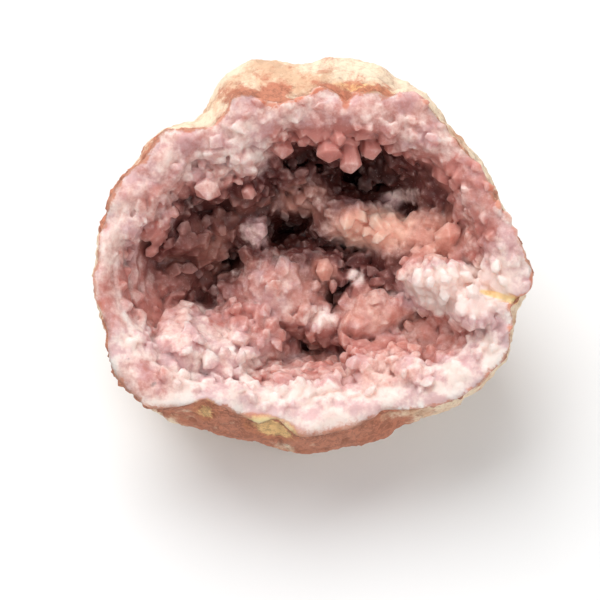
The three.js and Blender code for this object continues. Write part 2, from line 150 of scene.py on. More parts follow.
# Rounded lumps of the lining: (u, v, half length, half width, turn in degrees, height of the top, fall).
LUMPS = [
    (-7, -6.1, 8.6, 7.6, 0, -8.5, 4.5),
    (2.5, -2.3, 3.4, 3.8, 0, -11.5, 6),
    (12, -10.8, 7.5, 5.5, 20, -9, 5),
    (1.5, -12.2, 4.5, 3.4, 0, -11, 5),
    (8.2, -3.6, 2.4, 2.4, 0, -14.5, 5),
    (6.5, 7.6, 7.5, 4.6, -12, -9.5, 5),
    (15.5, 4.8, 8, 5, -20, -8.5, 5),
    (24, 3, 7, 6.5, -30, -6.5, 4),
    (18.6, 0, 6, 4.5, -20, -8.5, 5),
    (24.5, -5, 6.5, 4.4, -15, 1.6, 8),
    (31, -9.3, 8, 4.6, -32, 2.4, 8),
    (4.4, 24, 5.5, 4.5, 0, -2.5, 9),
    (-20.3, 17.5, 6.5, 5.5, 20, -4, 5),
    (-13.7, 20, 6.5, 5.5, 0, -2.5, 6),
    (-6, 19.5, 5.5, 5, 0, -7.5, 6),
    (-13, 13.4, 5.5, 4.6, 0, -7, 5),
    (-30.8, 8.7, 6, 6, 0, -3.5, 6),
    (-25.5, 4.5, 6, 5.5, 0, -8, 5),
    (-18, 6.5, 6, 5.5, 0, -10.5, 4.5),
    (-10.8, 4.5, 4, 4, 0, -10.5, 5),
    (-28.9, -5.1, 7, 6, 0, -11, 5),
    (-10.8, 10.5, 6, 5, 0, -11, 5),
    (-0.4, 12, 6, 5, 0, -11.5, 6),
    (-24.2, -19, 7, 6.4, 0, 0.3, 6),
    (-19.8, -18.4, 7, 5.5, 0, -3, 5),
    (-13, -15.5, 7, 5, -10, -6.5, 5),
    (-18.4, -22.2, 6, 4, 0, -1, 8),
    (-5.1, -26, 7, 4.5, 0, -0.8, 7),
    (3.8, -24.7, 4, 3.6, 0, -2, 7),
    (11.4, -21.5, 7, 4.6, 15, -4, 7),
    (18.2, -21.7, 4, 4, 0, -1, 8),
    (22.4, -15, 8, 5, 0, -12, 5),
    (15.5, -17, 6, 4, 0, -10.5, 5),
    (16.7, 17.1, 6, 4, -10, -18, 6),
    (17.1, 12, 4.5, 3, 30, -17, 6),
    (25.3, 12.9, 6, 7, 0, -8, 6),
    (31, 4.4, 5, 7, 0, -4, 7),
]

# Pits between the lumps: (u, v, half length, half width, turn in degrees, depth, darkness of painted shade).
PITS = [
    (-5.5, 5, 3, 3, 0, 16, 2),
    (7.8, 16.4, 3, 2.8, 15, 11, 0.9),
    (14.2, 20.3, 4, 3, -20, 6, 0),
    (-1.5, 19.8, 5.2, 1.3, 12, 12, 0.8),
    (-16.3, -1, 3, 2.6, 0, 7, 0.2),
    (-23.5, -7.5, 3, 4, 0, 6, 0.1),
    (4.7, -6.3, 2.4, 2, 0, 6, 0.2),
    (-1.8, -16.2, 3, 1.6, -10, 4, 0.1),
    (8.4, 0.6, 3.2, 2.2, -8, 6, 0.1),
    (18.8, 9.6, 2.4, 1.8, 0, 9, 0.8),
    (14.8, 14.4, 2.6, 1, 0, 8, 0.8),
]
LUMP_STAND = 2.2  # how far a lump may stand out of the opening
PIT_POWER = 2  # how square a pit's walls are
PIT_CUT = 0.45  # share of a pit's depth that is cut out of the lumps around it too
PIT_MOUTH = 0.8  # no crystal stands on a pit nearer its middle than this, squared
LUMP_BLEND = 1.6  # difference in height over which lumps run together
SWAY = 1.4  # how far the outlines of lumps and pits stray, over SWAY_SIZE
SWAY_SIZE = 5

# Crystals listed one by one: (u, v, w of the foot, lean u, v, w, radius, length).
LARGE_CRYSTALS = [
    (6.6, 25, -4.5, 0.1, -1, 0.12, 2.5, 8),
    (2.6, 24.5, -4, 0.15, -1, 0.25, 2.6, 5.5),
    (0.4, 25.5, -4.5, -0.6, -0.8, 0.1, 1.2, 4.5),
    (-6, 24.5, -6, 0.1, -1, 0.4, 2.2, 5),
    (10.5, 25, -5, 0.2, -1, 0.3, 2, 5.5),
    (17.2, -26, -5, 0.25, 0.9, 0.55, 3.2, 5.5),
    (3.4, -27.5, -5, 0.1, 0.8, 0.6, 2.8, 4.8),
    (10.6, -26, -6, 0, 0.8, 0.6, 3.2, 4.6),
    (-26.8, -20, -6, -0.1, 0.7, 0.7, 3.4, 5.5),
    (-14, -18.5, -9, 0, 0.8, 0.6, 2.4, 5),
    (26.2, 0, -9, 0, 0.85, 0.5, 3.2, 6.5),
    (2.4, -3.4, -15, 0, 0.25, 1, 2.7, 5),
    (-11, 4, -15, 0.2, 0.4, 0.9, 2.2, 5),
    (16, 11, -20, 0.3, 0.5, 0.8, 2.2, 5),
    (-20, 16, -8, 0, -0.6, 0.8, 2.8, 6),
    (-12.6, 15.5, -8, 0.1, -0.7, 0.6, 1.8, 4.5),
]
LARGE_KIN = (4, 0.45, (0.3, 0.7))  # smaller crystals round each: how many, their splay and their heights
LARGE_POINTS = (0.4, 0.7)  # height of the point, in radii

# Crystals placed by chance. Ranges are from and to. Where the lining is calm, crystals are wider and lower.
BLOCKS = dict(radii=(2.1, 3.2), wider=1.1, rises=(0.0, 0.8), lower=1.6, kin=(5, 0.5, (0.8, 0.95)))
MEDIUM = dict(radii=(1.6, 2.7), wider=1.2, rises=(-0.4, 0.3), lower=1.4, kin=(3, 0.45, (0.85, 0.95)))
POINTS = (0.35, 0.6)
SMALL_RADII, SMALL_RISES, SMALL_POINTS = (0.5, 0.9), (0.2, 0.9), (0.5, 0.9)
SMALL_ROOT, SMALL_LEAN = 0.6, 1.3
BLOCKS_DRAWN, MEDIUM_DRAWN, SMALL_DRAWN, BAND_DRAWN = 4000, 6000, 5500, 4000
BLOCK_SPACING = 5.8
OUTERMOST_BLOCK, OUTERMOST_LOOSE = 0.97, 0.99  # shares
WALL_CROWDING = 0.35  # power that moves spots from the middle to the wall
CRYSTAL_ROOT = 1.6
LEAN = 0.7

# Crystals half sunk in the broken band.
BAND_RADII, BAND_SINKING, BAND_RISES, BAND_POINTS = (1.4, 2.4), (-0.5, 0), (0.2, 1.2), (0.4, 0.8)
BAND_START = 0.92  # as a share of the hollow, counted on across the band
BAND_REACH = 0.4
BAND_REACH_MORE = [(0.5, 0.6), (0.3, 2.4)]  # (further by, at this angle)

# What the quartz's tints start from.
# The slope makes the rim paler towards the bottom of the opening: painted light where the band faces the lamp.
RIM_PALENESS, PAINTED_LIGHT_SLOPE, LEAST_PALENESS = 0.7, -0.009, 0.08  # the slope is for each millimetre up
WARMTH = (0.2, 0.2, 9, 3)  # (mean, swing, size, seed)
CALM = 0.15

# Where the lining differs from what its depth makes it: (u, v, half length, half width, paleness, warmth,
# and how far the small crystals give way to smooth faces). Some rows paint light and shade: the lip and the
# ridge are paler partly as painted light, and the row under the upper rim is less pale as painted shade.
TINTS = [
    # The lip: paler, partly its own white and partly painted light.
    (28, -6.2, 10.5, 5, 1.7, 0.1, 0.4),  # the lip
    (32, 7, 3.5, 7, 0.25, 0.3, 0.7),  # the wall behind the lip
    # The ridge: paler and warmer, partly as painted light.
    (12.5, 6, 10, 5, 0.8, 1, 0.95),  # the ridge
    (24, 4, 6, 5, 0.3, 0.7, 0.9),
    (-1, 12, 6.5, 4, 0.25, 0.5, 0.6),  # behind it
    (-7, -6, 8, 7, 0.5, 0.45, 0.95),  # the large lump and its neighbour
    (12, -11, 7, 5, 0.5, 0.6, 0.95),
    (1.5, -11.5, 3.5, 2.5, 0.8, 0.1, 0),
    (22, -15, 8, 4, 0.35, 0.45, 0.9),
    (-24, -11, 4, 3, 0.55, 0.35, 0.4),  # the yellowish patch
    (-18, -18, 12, 6, 0.75, 0.3, 0.7),
    (-24.5, -18.5, 8, 7.2, 0.7, 0.25, 1.2),  # the smooth boulder, lower left
    (-34.5, -5, 3.2, 8, 0.3, 0, 0.9),  # the streaked wall
    (-39, -9, 2.4, 9, 0.38, 0.2, 0.6),
    (-32, -23.5, 6, 4.5, 0.45, 0.2, 0.8),
    (20, 27, 6, 3.5, 0.5, 0.3, 0.4),
    (30, 16, 3.5, 7, 0.38, 0.3, 0.4),
    (24, 15, 4.5, 5, 0.08, 0.2, 0.8),
    (8.6, -3.6, 1.7, 1.7, 0.9, 0.2, 0.6),
    (2.5, -2.4, 3, 3, 0.3, 0.7, 1),
    (-17.5, -9, 2.6, 4.6, 0.35, 0, 0.5),
    (12, -22, 10, 4, 0.55, 0.5, 0.6),
    (-11, 5, 3, 3, 0.6, 0.1, 0),
    (17, 12, 4, 2.5, 0.6, 0.2, 1),
    # Less pale: painted shade under the upper rim.
    (4, 21.5, 10, 4, -0.1, 0.1, 0.5),
    (-5, -21, 5, 3, 0.5, 0.35, 0.7),
    (-29.5, 11, 4.5, 5, 0.4, 0.2, 0.2),
    (-20.5, 18, 5, 4, 0.6, 0.3, 0.3),
    (-13, 20.5, 5.5, 4.5, 0.7, 0.1, 0.3),
]

# Pinholes of the broken band, the bare wall with streaks, and the fissure, as ovals: (u, v, half length,
# half width, turn in degrees). The pinholes are painted only: brown spots, partly their own brown and partly
# painted shade for the holes.
PINHOLES = [(-34.6, -19, 0.5, 0.3, 30), (-23.6, -22.6, 0.7, 0.4, -20), (-29.8, -23.8, 0.5, 0.3, 60)]
STREAKED_WALL = (-34, -5.5, 3.4, 7.5, 0)
FISSURE = (34.8, -7, 4.6, 0.8, -14)
FISSURE_DEPTH = 1.8

# Stains of the rind and the broken band: (u, v, half length, half width, turn in degrees, rust, gold).
STAINS = [
    (6.4, 29.5, 1.3, 3.2, 0, 1, 0.2),  # the run of stain into the band
    (-10, 31.6, 8, 1.5, 4, 1, 0.1),
    (9, 32.6, 8, 1.6, -8, 0.6, 0.8),
    (-8, -32.4, 4.8, 2.2, -14, 0.1, 2.0),
    (-20.3, -28.9, 2.6, 2.2, 0, 1.2, 1.5),
    (-26, -29, 9, 2.4, -8, 0.9, 0.1),
    (*FISSURE[:2], 5, 1, FISSURE[4], 1, 1.8),
    (-37, 17, 10, 3, 58, 0.8, 0.1),
    # The rust along the rind's bottom is partly real stain and partly painted shade, where the bottom lies in
    # shadow.
    (8, -36, 13, 6, 8, 1.6, 0),
    (13, -33.5, 7, 2.6, 10, 1.8, 0),
    (-14, -34, 12, 5, -10, 1.5, 0),
]

# Lamps of the stage: place in the rim's frame and width.
KEY_LAMP = ((-280, 740, 520), 900)
FILL_LAMP = ((300, -180, 780), 600)
FLOOR_HALF_WIDTH = 1500
SENSOR_WIDTH = 36  # of the camera

# ---- Plain mathematics on arrays ------------------------------------------------------------------


def lerp(a, b, t):
    return a + (b - a) * t


def smooth(x):
    """Rises from 0 to 1 as x does, level at both ends."""
    x = np.clip(x, 0, 1)
    return x * x * (3 - 2 * x)


def ease(x, start, end):
    """0 up to the start and 1 from the end on, with a smooth rise between."""
    return smooth((x - start) / (end - start))


def unit(vectors):
    return vectors / np.linalg.norm(vectors, axis=-1, keepdims=True)


def blended_max(a, b, width):
    """The larger of two heights, rounded where they meet."""
    near = np.maximum(width - np.abs(a - b), 0) / width
    return np.maximum(a, b) + near * near * width / 4


def chance(n):
    """A repeatable number from 0 to 1 for each number put in."""
    x = np.sin(n) * 43758.5453
    return x - np.floor(x)


def noise(x, y, z):
    """Value noise from -1 to 1: numbers at the points of a unit lattice, blended smoothly between them."""
    x, y, z = np.broadcast_arrays(x, y, z)
    i, j, k = np.floor(x), np.floor(y), np.floor(z)
    a, b, c = smooth(x - i), smooth(y - j), smooth(z - k)
    total = 0
    for di in (0, 1):
        for dj in (0, 1):
            for dk in (0, 1):
                share = (a if di else 1 - a) * (b if dj else 1 - b) * (c if dk else 1 - c)
                total = total + share * chance((i + di) * 127.1 + (j + dj) * 311.7 + (k + dk) * 74.7)
    return 2 * total - 1


def grains(u, v, w, size, seed):
    """Touching grains with flat faces, 1 at a grain's middle and falling to about 0 between grains.

    Each cell of a lattice holds one cube, turned at random. A point's value is 1 less its distance to the
    nearest cube's middle, measured along that cube's axes and taking the longest of the three, and rounded
    off close to the middle.
    """
    q = np.stack([u, v, w], -1) / size
    cell = np.floor(q)
    nearest = np.full(q.shape[:-1], 9.0)
    for step in np.ndindex(3, 3, 3):
        here = cell + np.array(step) - 1
        n = here @ np.array([127.1, 311.7, 74.7]) + seed * 13.7
        middle = here + 0.5 + 0.7 * (np.stack([chance(n), chance(n + 1.3), chance(n + 2.7)], -1) - 0.5)
        around, over = TURN * chance(n + 4.1), np.arccos(2 * chance(n + 5.9) - 1)
        ca, sa, co, so = np.cos(around), np.sin(around), np.cos(over), np.sin(over)
        x, y, z = np.moveaxis(q - middle, -1, 0)
        along = np.abs(x * ca * so + y * sa * so + z * co)
        aside = np.abs(y * ca - x * sa)
        upright = np.abs(x * ca * co + y * sa * co - z * so)
        nearest = np.minimum(nearest, np.maximum(np.maximum(along, aside), upright))
    return 1 - np.sqrt(nearest**2 + 0.02)


def grain_stack(u, v, w, rows):
    """Grains of several sizes on top of each other, from rows of (height, size, seed)."""
    return sum(height * grains(u, v, w, size, seed) for height, size, seed in rows)


def radius_of(outline, softness):
    """An outline as its distance from the middle at any angle, with its corners rounded.

    The radius is laid out on a fine ring of angles and each of its waves is faded by how often it goes
    around, which is a running mean over an angle of about softness.
    """
    u, v = np.array(outline, float).T
    angle = np.arctan2(v, u) % TURN
    fine = np.linspace(0, TURN, 2048, endpoint=False)
    waves = np.fft.rfft(np.interp(fine, *zip(*sorted(zip(angle, np.hypot(u, v)))), period=TURN))
    waves *= np.exp(-0.5 * (np.arange(len(waves)) * softness) ** 2)
    rounded = np.fft.irfft(waves, len(fine))
    return lambda a: np.interp(a, fine, rounded, period=TURN)


widest = radius_of(WIDEST_OUTLINE, 0.03)
even_rind_edge = radius_of(RIND_EDGE, 0.012)
hollow_edge = radius_of(HOLLOW_EDGE, 0.03)


def polar(r, angle):
    return r * np.cos(angle), r * np.sin(angle)


def rind_edge(angle):
    """The rind's broken edge: its outline, made ragged by two sizes of noise."""
    r = even_rind_edge(angle)
    u, v = polar(r, angle)
    return r + sum(height * noise(u / size, v / size, EDGE_BREAKS_SEED) for height, size in EDGE_BREAKS)


def place(u, v, w):
    """From the rim's frame, in millimetres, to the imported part's frame, in metres."""
    c, s = np.cos(REST_LEAN), np.sin(REST_LEAN)
    u, v, w = np.broadcast_arrays(u, v, w)
    return (np.stack([u, v * c - w * s, v * s + w * c], -1) - ORIGIN) * MM


def unplace(points):
    """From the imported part's frame, in metres, to the rim's frame, in millimetres: the way back of place."""
    c, s = np.cos(REST_LEAN), np.sin(REST_LEAN)
    x, y, z = (points / MM + ORIGIN).T
    return np.stack([x, y * c + z * s, z * c - y * s], -1)


def heading(direction):
    """A direction in the rim's frame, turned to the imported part's frame."""
    return place(*np.moveaxis(direction, -1, 0)) / MM + ORIGIN


# ---- The stone's surfaces -------------------------------------------------------------------------


def rim_height(angle):
    return sum(height * np.sin(times * angle + phase) for height, times, phase in RIM_WAVES)


def rim_rise(angle):
    """How far the broken band rises from the hollow to the rind: most at the bottom of the opening."""
    return RIM_RISE - RIM_RISE_SWING * np.sin(angle)


def oval_distance(u, v, middle_u, middle_v, length, width, turn=0.0):
    """Distance from an oval's middle, 1 at its outline, squared."""
    t = np.radians(turn)
    du, dv = u - middle_u, v - middle_v
    along = (du * np.cos(t) + dv * np.sin(t)) / length
    across = (dv * np.cos(t) - du * np.sin(t)) / width
    return along**2 + across**2


def pits(u, v):
    """How deep the pits are sunk at u and v."""
    return sum(p[5] * np.exp(-(oval_distance(u, v, *p[:5]) ** PIT_POWER)) for p in PITS)


def swayed(u, v):
    """Where a point of the lining looks for its lumps and pits, so that their outlines stray."""
    seeds = (31, 47)
    return [x + SWAY * noise(u / SWAY_SIZE, v / SWAY_SIZE, seed) for x, seed in zip((u, v), seeds)]


def lining_height(u, v):
    """The lining over u and v: a bowl's profile with pits sunk into its floor, the largest of the lumps that
    stand on it, blended and cut by the pits, and unevenness that dies out at the rim."""
    angle, r = np.arctan2(v, u), np.hypot(u, v)
    rim, share = rim_height(angle), r / hollow_edge(angle)
    rise, size, seed = LINING_GRAIN
    rough = rise * noise(u / size, v / size, seed) * smooth((1 - share) / LINING_CALM)
    u, v = swayed(u, v)
    sunk = pits(u, v)
    height = lerp(-HOLLOW_DEPTH - (1 - PIT_CUT) * sunk, rim, np.minimum(share, 1) ** WALL_STEEPNESS)
    for lump in LUMPS:
        height = blended_max(height, lump[5] - lump[6] * oval_distance(u, v, *lump[:5]), LUMP_BLEND)
    free = np.minimum(height + rough - PIT_CUT * sunk, rim + LUMP_STAND)
    return lerp(rim, free, smooth((1 - share) / EDGE_SETTLE))


def lining_normal(u, v, step=0.8):
    """The way that the lining faces, from its heights one step to each side."""
    du = (lining_height(u + step, v) - lining_height(u - step, v)) / (2 * step)
    dv = (lining_height(u, v + step) - lining_height(u, v - step)) / (2 * step)
    return unit(np.stack([-du, -dv, np.ones_like(du)], -1))


def crust_thickness(share):
    return lerp(CRUST_EDGE_THICKNESS, CRUST_THICKNESS, smooth((1 - share) / CRUST_THINNING))


def under_lining(angle, share, sink):
    """Points straight below the lining, deeper by sink measured square to it: (u, v, w)."""
    r = share * hollow_edge(angle)
    u, v = polar(r, angle)
    upright = np.minimum(1 / lining_normal(u, v)[..., 2], STEEPEST)
    return u, v, lining_height(u, v) - sink * upright


def back_point(angle, turn):
    """The outside from the rim's edge to the middle of the back: (u, v, w).

    It swells from the rind's edge, which is ragged only at its very top, to the widest outline, closes as a
    rounded power curve, and every point moves in or out from the stone's middle by slow swells.
    """
    down = np.sin(turn * TURN / 4)
    edge = lerp(even_rind_edge(angle), rind_edge(angle), np.exp(-turn / EDGE_DEPTH))
    wide = lerp(edge, widest(angle), smooth(down / BELLY_TURN))
    closing = np.sqrt(np.maximum(1 - down**BACK_ROUNDNESS, 0))
    r = wide * lerp(1, closing, smooth(down / (2 * BELLY_TURN)))
    top = rim_height(angle) + rim_rise(angle) - RIM_ROUNDING
    w = top * (1 - down) ** 2 - BACK_DEPTH * down
    u, v = polar(r, angle)
    swells = sum(h * noise(u / size + seed, v / size, w / size) for h, size, seed in BACK_SWELLS)
    swollen = 1 + swells / BACK_DEPTH * smooth(turn / BACK_CALM)
    return u * swollen, v * swollen, w * lerp(1, swollen, down)


# ---- Meshes from arrays ---------------------------------------------------------------------------


def ring_faces(rings, columns, first=0):
    """Faces of a closed surface: a pole, rings of columns, and a pole, numbered in that order."""
    ring, column = np.meshgrid(np.arange(rings - 1), np.arange(columns), indexing="ij")
    a = first + 1 + ring * columns + column
    b = first + 1 + ring * columns + (column + 1) % columns
    quads = np.stack([a, a + columns, b + columns, b], -1).reshape(-1, 4)
    edge = np.arange(columns)
    after = (edge + 1) % columns
    top, last = first + 1, first + 1 + (rings - 1) * columns
    start = np.stack([np.full(columns, first), top + edge, top + after], -1)
    end = np.stack([np.full(columns, last + columns), last + after, last + edge], -1)
    return [quads, start, end]


def hoop_faces(rings, columns):
    """Faces of a closed ring-shaped surface: rings of columns, the last joined to the first."""
    ring, column = np.meshgrid(np.arange(rings), np.arange(columns), indexing="ij")
    a, b = ring * columns + column, ring * columns + (column + 1) % columns
    after = [(corner + columns) % (rings * columns) for corner in (a, b)]
    return [np.stack([a, *after, b], -1).reshape(-1, 4)]


def add_mesh(name, points, faces, smoothed):
    """A new object at the origin whose mesh has these points, in metres, and these arrays of faces."""
    mesh = bpy.data.meshes.new(name)
    corners = np.concatenate([f.ravel() for f in faces]).astype(np.int32)
    sizes = np.concatenate([np.full(len(f), f.shape[1]) for f in faces])
    starts = (np.cumsum(sizes) - sizes).astype(np.int32)
    mesh.vertices.add(len(points))
    mesh.vertices.foreach_set("co", points.astype(np.float32).ravel())
    mesh.loops.add(len(corners))
    mesh.loops.foreach_set("vertex_index", corners)
    mesh.polygons.add(len(sizes))
    mesh.polygons.foreach_set("loop_start", starts)
    mesh.update(calc_edges=True)
    mesh.validate()
    mesh.polygons.foreach_set("use_smooth", np.full(len(mesh.polygons), smoothed))
    obj = bpy.data.objects.new(name, mesh)
    bpy.context.scene.collection.objects.link(obj)
    return obj


def flat_array(items, key, count, kind=np.float32):
    """A property of every item of a mesh's collection, as rows of count numbers."""
    values = np.empty(len(items) * count, kind)
    items.foreach_get(key, values)
    return values.reshape(-1, count)


def soften(mesh):
    """Shades a mesh of triangles by the mean of the faces that meet at each point, weighted by their areas,
    so that wide faces look flat and the narrow ones between them carry the bend."""
    points = flat_array(mesh.vertices, "co", 3).astype(float)
    corners = flat_array(mesh.loops, "vertex_index", 1, np.int32).reshape(-1, 3)
    a, b, c = (points[corners[:, k]] for k in range(3))
    area = np.cross(b - a, c - a)
    total = [sum(np.bincount(corner, part, len(points)) for corner in corners.T) for part in area.T]
    mesh.normals_split_custom_set_from_vertices(unit(np.stack(total, -1)))


def set_attributes(obj, values):
    """Numbers for the materials at every point of a mesh, by name."""
    for name, numbers in values.items():
        attribute = obj.data.attributes.new(name, "FLOAT", "POINT")
        attribute.data.foreach_set("value", np.asarray(numbers, np.float32).ravel())


def finish_piece(obj, material, node):
    obj.data.materials.append(material)
    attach(obj, "root")
    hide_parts(node)


# ---- Shader expressions ---------------------------------------------------------------------------


class Value:
    """A socket in an expression. Arithmetic on it adds Math nodes to its graph."""

    def __init__(self, graph, socket):
        self.graph = graph
        self.socket = socket

    def math(self, operation, *others):
        return self.graph.node("ShaderNodeMath", {"operation": operation}, dict(enumerate((self, *others))))

    def __add__(self, other):
        return self.math("ADD", other)

    def __sub__(self, other):
        return self.math("SUBTRACT", other)

    def __mul__(self, other):
        return self.math("MULTIPLY", other)

    def __rsub__(self, other):
        return self * -1 + other

    __radd__ = __add__
    __rmul__ = __mul__


class Graph:
    """A material's nodes, with its Principled shader."""

    def __init__(self, name):
        self.material = bpy.data.materials.new(name)
        self.material.use_nodes = True
        self.tree = self.material.node_tree
        self.shader = self.tree.nodes["Principled BSDF"]

    def node(self, kind, settings=None, inputs=None, output=0):
        """Adds a node: its settings first, then its sockets' values or links."""
        node = self.tree.nodes.new(kind)
        for key, value in (settings or {}).items():
            setattr(node, key, value)
        for key, value in (inputs or {}).items():
            self.feed(node.inputs[key], value)
        return Value(self, node.outputs[output])

    def feed(self, socket, value):
        if isinstance(value, Value):
            self.tree.links.new(value.socket, socket)
        else:
            socket.default_value = value

    def set(self, **inputs):
        """Feeds the Principled shader's sockets, named with _ for each space."""
        for key, value in inputs.items():
            self.feed(self.shader.inputs[key.replace("_", " ")], value)

    def attribute(self, name):
        return self.node("ShaderNodeAttribute", {"attribute_name": name}, output="Fac")

    def place(self):
        return self.node("ShaderNodeTexCoord", output="Object")

    def noise(self, size, detail=2.0, roughness=0.5):
        """Noise from 0 to 1 whose blotches are about size millimetres across."""
        inputs = {"Vector": self.place(), "Scale": 1 / (size * MM), "Detail": detail, "Roughness": roughness}
        return self.node("ShaderNodeTexNoise", {}, inputs)

    def cells(self, size, output="Distance"):
        """Cells about size millimetres across: the distance from their middles, or a colour for each."""
        inputs = {"Vector": self.place(), "Scale": 1 / (size * MM)}
        return self.node("ShaderNodeTexVoronoi", {}, inputs, output)

    def span(self, value, low, high, start=0.0, end=1.0):
        """value, moved from the range low to high to the range start to end, smoothly and clamped."""
        return self.node(
            "ShaderNodeMapRange",
            {"interpolation_type": "SMOOTHSTEP"},
            {"Value": value, "From Min": low, "From Max": high, "To Min": start, "To Max": end},
        )

    def mix(self, share, a, b):
        """From colour a to colour b."""
        return self.node("ShaderNodeMix", {"data_type": "RGBA"}, {0: share, 6: rgba(a), 7: rgba(b)}, output=2)

    def tone(self, colour, value):
        """A colour made lighter or darker by a value around 1."""
        return self.node("ShaderNodeHueSaturation", {}, {"Value": value, "Color": rgba(colour)})

    def bump(self, height, depth, normal=None):
        """A normal bumped by a height from 0 to 1 that stands for depth millimetres."""
        inputs = {"Height": height, "Distance": depth * MM, "Strength": 1.0}
        if normal is not None:
            inputs["Normal"] = normal
        return self.node("ShaderNodeBump", {}, inputs)


def rgba(colour):
    return colour if isinstance(colour, Value) else (*colour[:3], 1.0)


def screen(red, green, blue):
    """A colour as a screen shows it, as the light it stands for."""
    return tuple(c / 12.92 if c <= 0.04045 else ((c + 0.055) / 1.055) ** 2.4 for c in (red, green, blue))


# ---- Settings -------------------------------------------------------------------------------------


def colour(name, description, red, green, blue):
    light = screen(red, green, blue)
    return FloatVectorProperty(
        name=name, description=description, subtype="COLOR", size=3, min=0, max=1, default=light
    )


def length(name, description, millimetres, least=0.0):
    metres = millimetres * MM
    return FloatProperty(
        name=name, description=description, unit="LENGTH", subtype="DISTANCE", min=least, default=metres
    )


def power(name, description, watts):
    return FloatProperty(name=name, description=description, unit="POWER", min=0, default=watts)


class GeodeSizes(bpy.types.PropertyGroup):
    """Sizes that a user would change."""

    columns: IntProperty(name="Columns", description="Grid lines around the opening", default=560, min=60)
    rim_grain: length("Rim grain", "Height of the broken rim's coarse grains", 1.4)
    rind_grain: length("Rind grain", "Height of the rind's lumps and grains", 0.5)
    druse_grain: length("Druse grain", "Height of the lining's small points between crystals", 1.3)
    medium_spacing: length("Medium spacing", "Distance between medium crystals", 3.0)
    small_spacing: length("Small spacing", "Distance between small crystals", 1.8)
    rim_spacing: length("Rim spacing", "Distance between the crystals sunk in the broken rim", 2.4)
    quartz_detail: length("Quartz detail", "Size of the smallest faces of the quartz", 0.21)


class GeodeColours(bpy.types.PropertyGroup):
    """Colours that a user would change."""

    # Rose comes in with depth, partly own colour and partly painted shade, and as painted shade in creases.
    rose: colour("Rose", "Crystals deep in the hollow", 0.4, 0.205, 0.19)
    pink: colour("Pink", "Crystals at middle height", 0.75, 0.49, 0.455)
    salmon: colour("Salmon", "The warmer crystals", 0.83, 0.585, 0.515)
    peach: colour("Peach", "The milk of the warmer crystals", 0.96, 0.72, 0.63)
    pale: colour("Pale", "Crystals near the rim, and the rim itself", 0.97, 0.87, 0.835)
    lavender: colour("Lavender", "The cool tinge of the rim", 0.84, 0.69, 0.69)
    # Painted shade: the colour that stands for the shadow at the bottoms of the pits.
    shadow: colour("Pit", "The bottoms of the pits", 0.26, 0.1, 0.08)
    cream: colour("Cream", "The rind's palest skin", 0.98, 0.89, 0.78)
    tan: colour("Tan", "The rind's duller skin", 0.90, 0.74, 0.61)
    ochre: colour("Ochre", "The rind's yellow", 0.97, 0.80, 0.56)
    rust: colour("Rust", "The rind's orange stain, strongest at the broken edge", 0.78, 0.47, 0.36)
    # Umber is also the painted shade in the rind's hollows.
    umber: colour("Umber", "The rind's brown specks and hollows", 0.46, 0.28, 0.21)
    floor: colour("Floor", "The floor that the stone lies on", 0.93, 0.93, 0.93)


class GeodeStage(bpy.types.PropertyGroup):
    """The view and the light."""

    distance: length("Camera distance", "From the middle of the rim's plane", 450)
    view_width: length("View width", "Width of the view at the rim's plane", 114)
    view_u: length("View u", "Middle of the view, right of the rim's middle", -2.3, -1)
    view_v: length("View v", "Middle of the view, above the rim's middle", -8, -1)
    key: power("Key light", "Power of the large lamp above", 10.9)
    fill: power("Fill light", "Power of the lamp in front", 2.6)
    sky: FloatProperty(name="Sky", description="Strength of the light from all around", default=0.36, min=0)


# ---- Materials ------------------------------------------------------------------------------------


def quartz_colour(graph, colours):
    """Milky quartz: rose deep down and pink above, partly the crystals' own colour and partly painted shade,
    salmon where warm, and milk over it where pale. The milk is pale pink, clouded with lavender, and peach
    where warm. Where the painted shade is deepest, the pit colour stands for the shadow."""
    pale, warm, depth_and_shade = (graph.attribute(name) for name in ("pale", "warm", "depth_and_shade"))
    cloud = graph.noise(6, 3, 0.6)
    veil = graph.noise(2.6, 3, 0.6)
    fine = graph.noise(0.8, 4, 0.75)
    # Rose by depth: partly the crystals' own colour, partly painted shade.
    body = graph.mix(graph.span(depth_and_shade + (cloud - 0.5) * 0.7, 0.15, 0.9), colours.pink, colours.rose)
    body = graph.mix(graph.span(warm + (cloud - 0.5) * 0.8, 0.1, 0.9, 0, 0.9), body, colours.salmon)
    cool = graph.span(graph.noise(5, 4, 0.65), 0.42, 0.62) * graph.span(pale, 0.9, 1.4, 1, 0.25)
    milk = graph.mix(cool, colours.pale, colours.lavender)
    milk = graph.mix(graph.span(warm, 0.35, 0.9, 0, 0.85), milk, colours.peach)
    milky = graph.span(pale + (fine - 0.5) * 0.4 + (veil - 0.5) * 1.2, 0.1, 0.9)
    body = graph.mix(milky, body, milk)
    # Painted shadow: the pit colour where the painted shade is deepest.
    body = graph.mix(graph.span(depth_and_shade, 1.1, 1.9), body, colours.shadow)
    grown = graph.cells(2.4, output="Color")
    return graph.tone(body, 0.83 + fine * 0.16 + grown * 0.14)


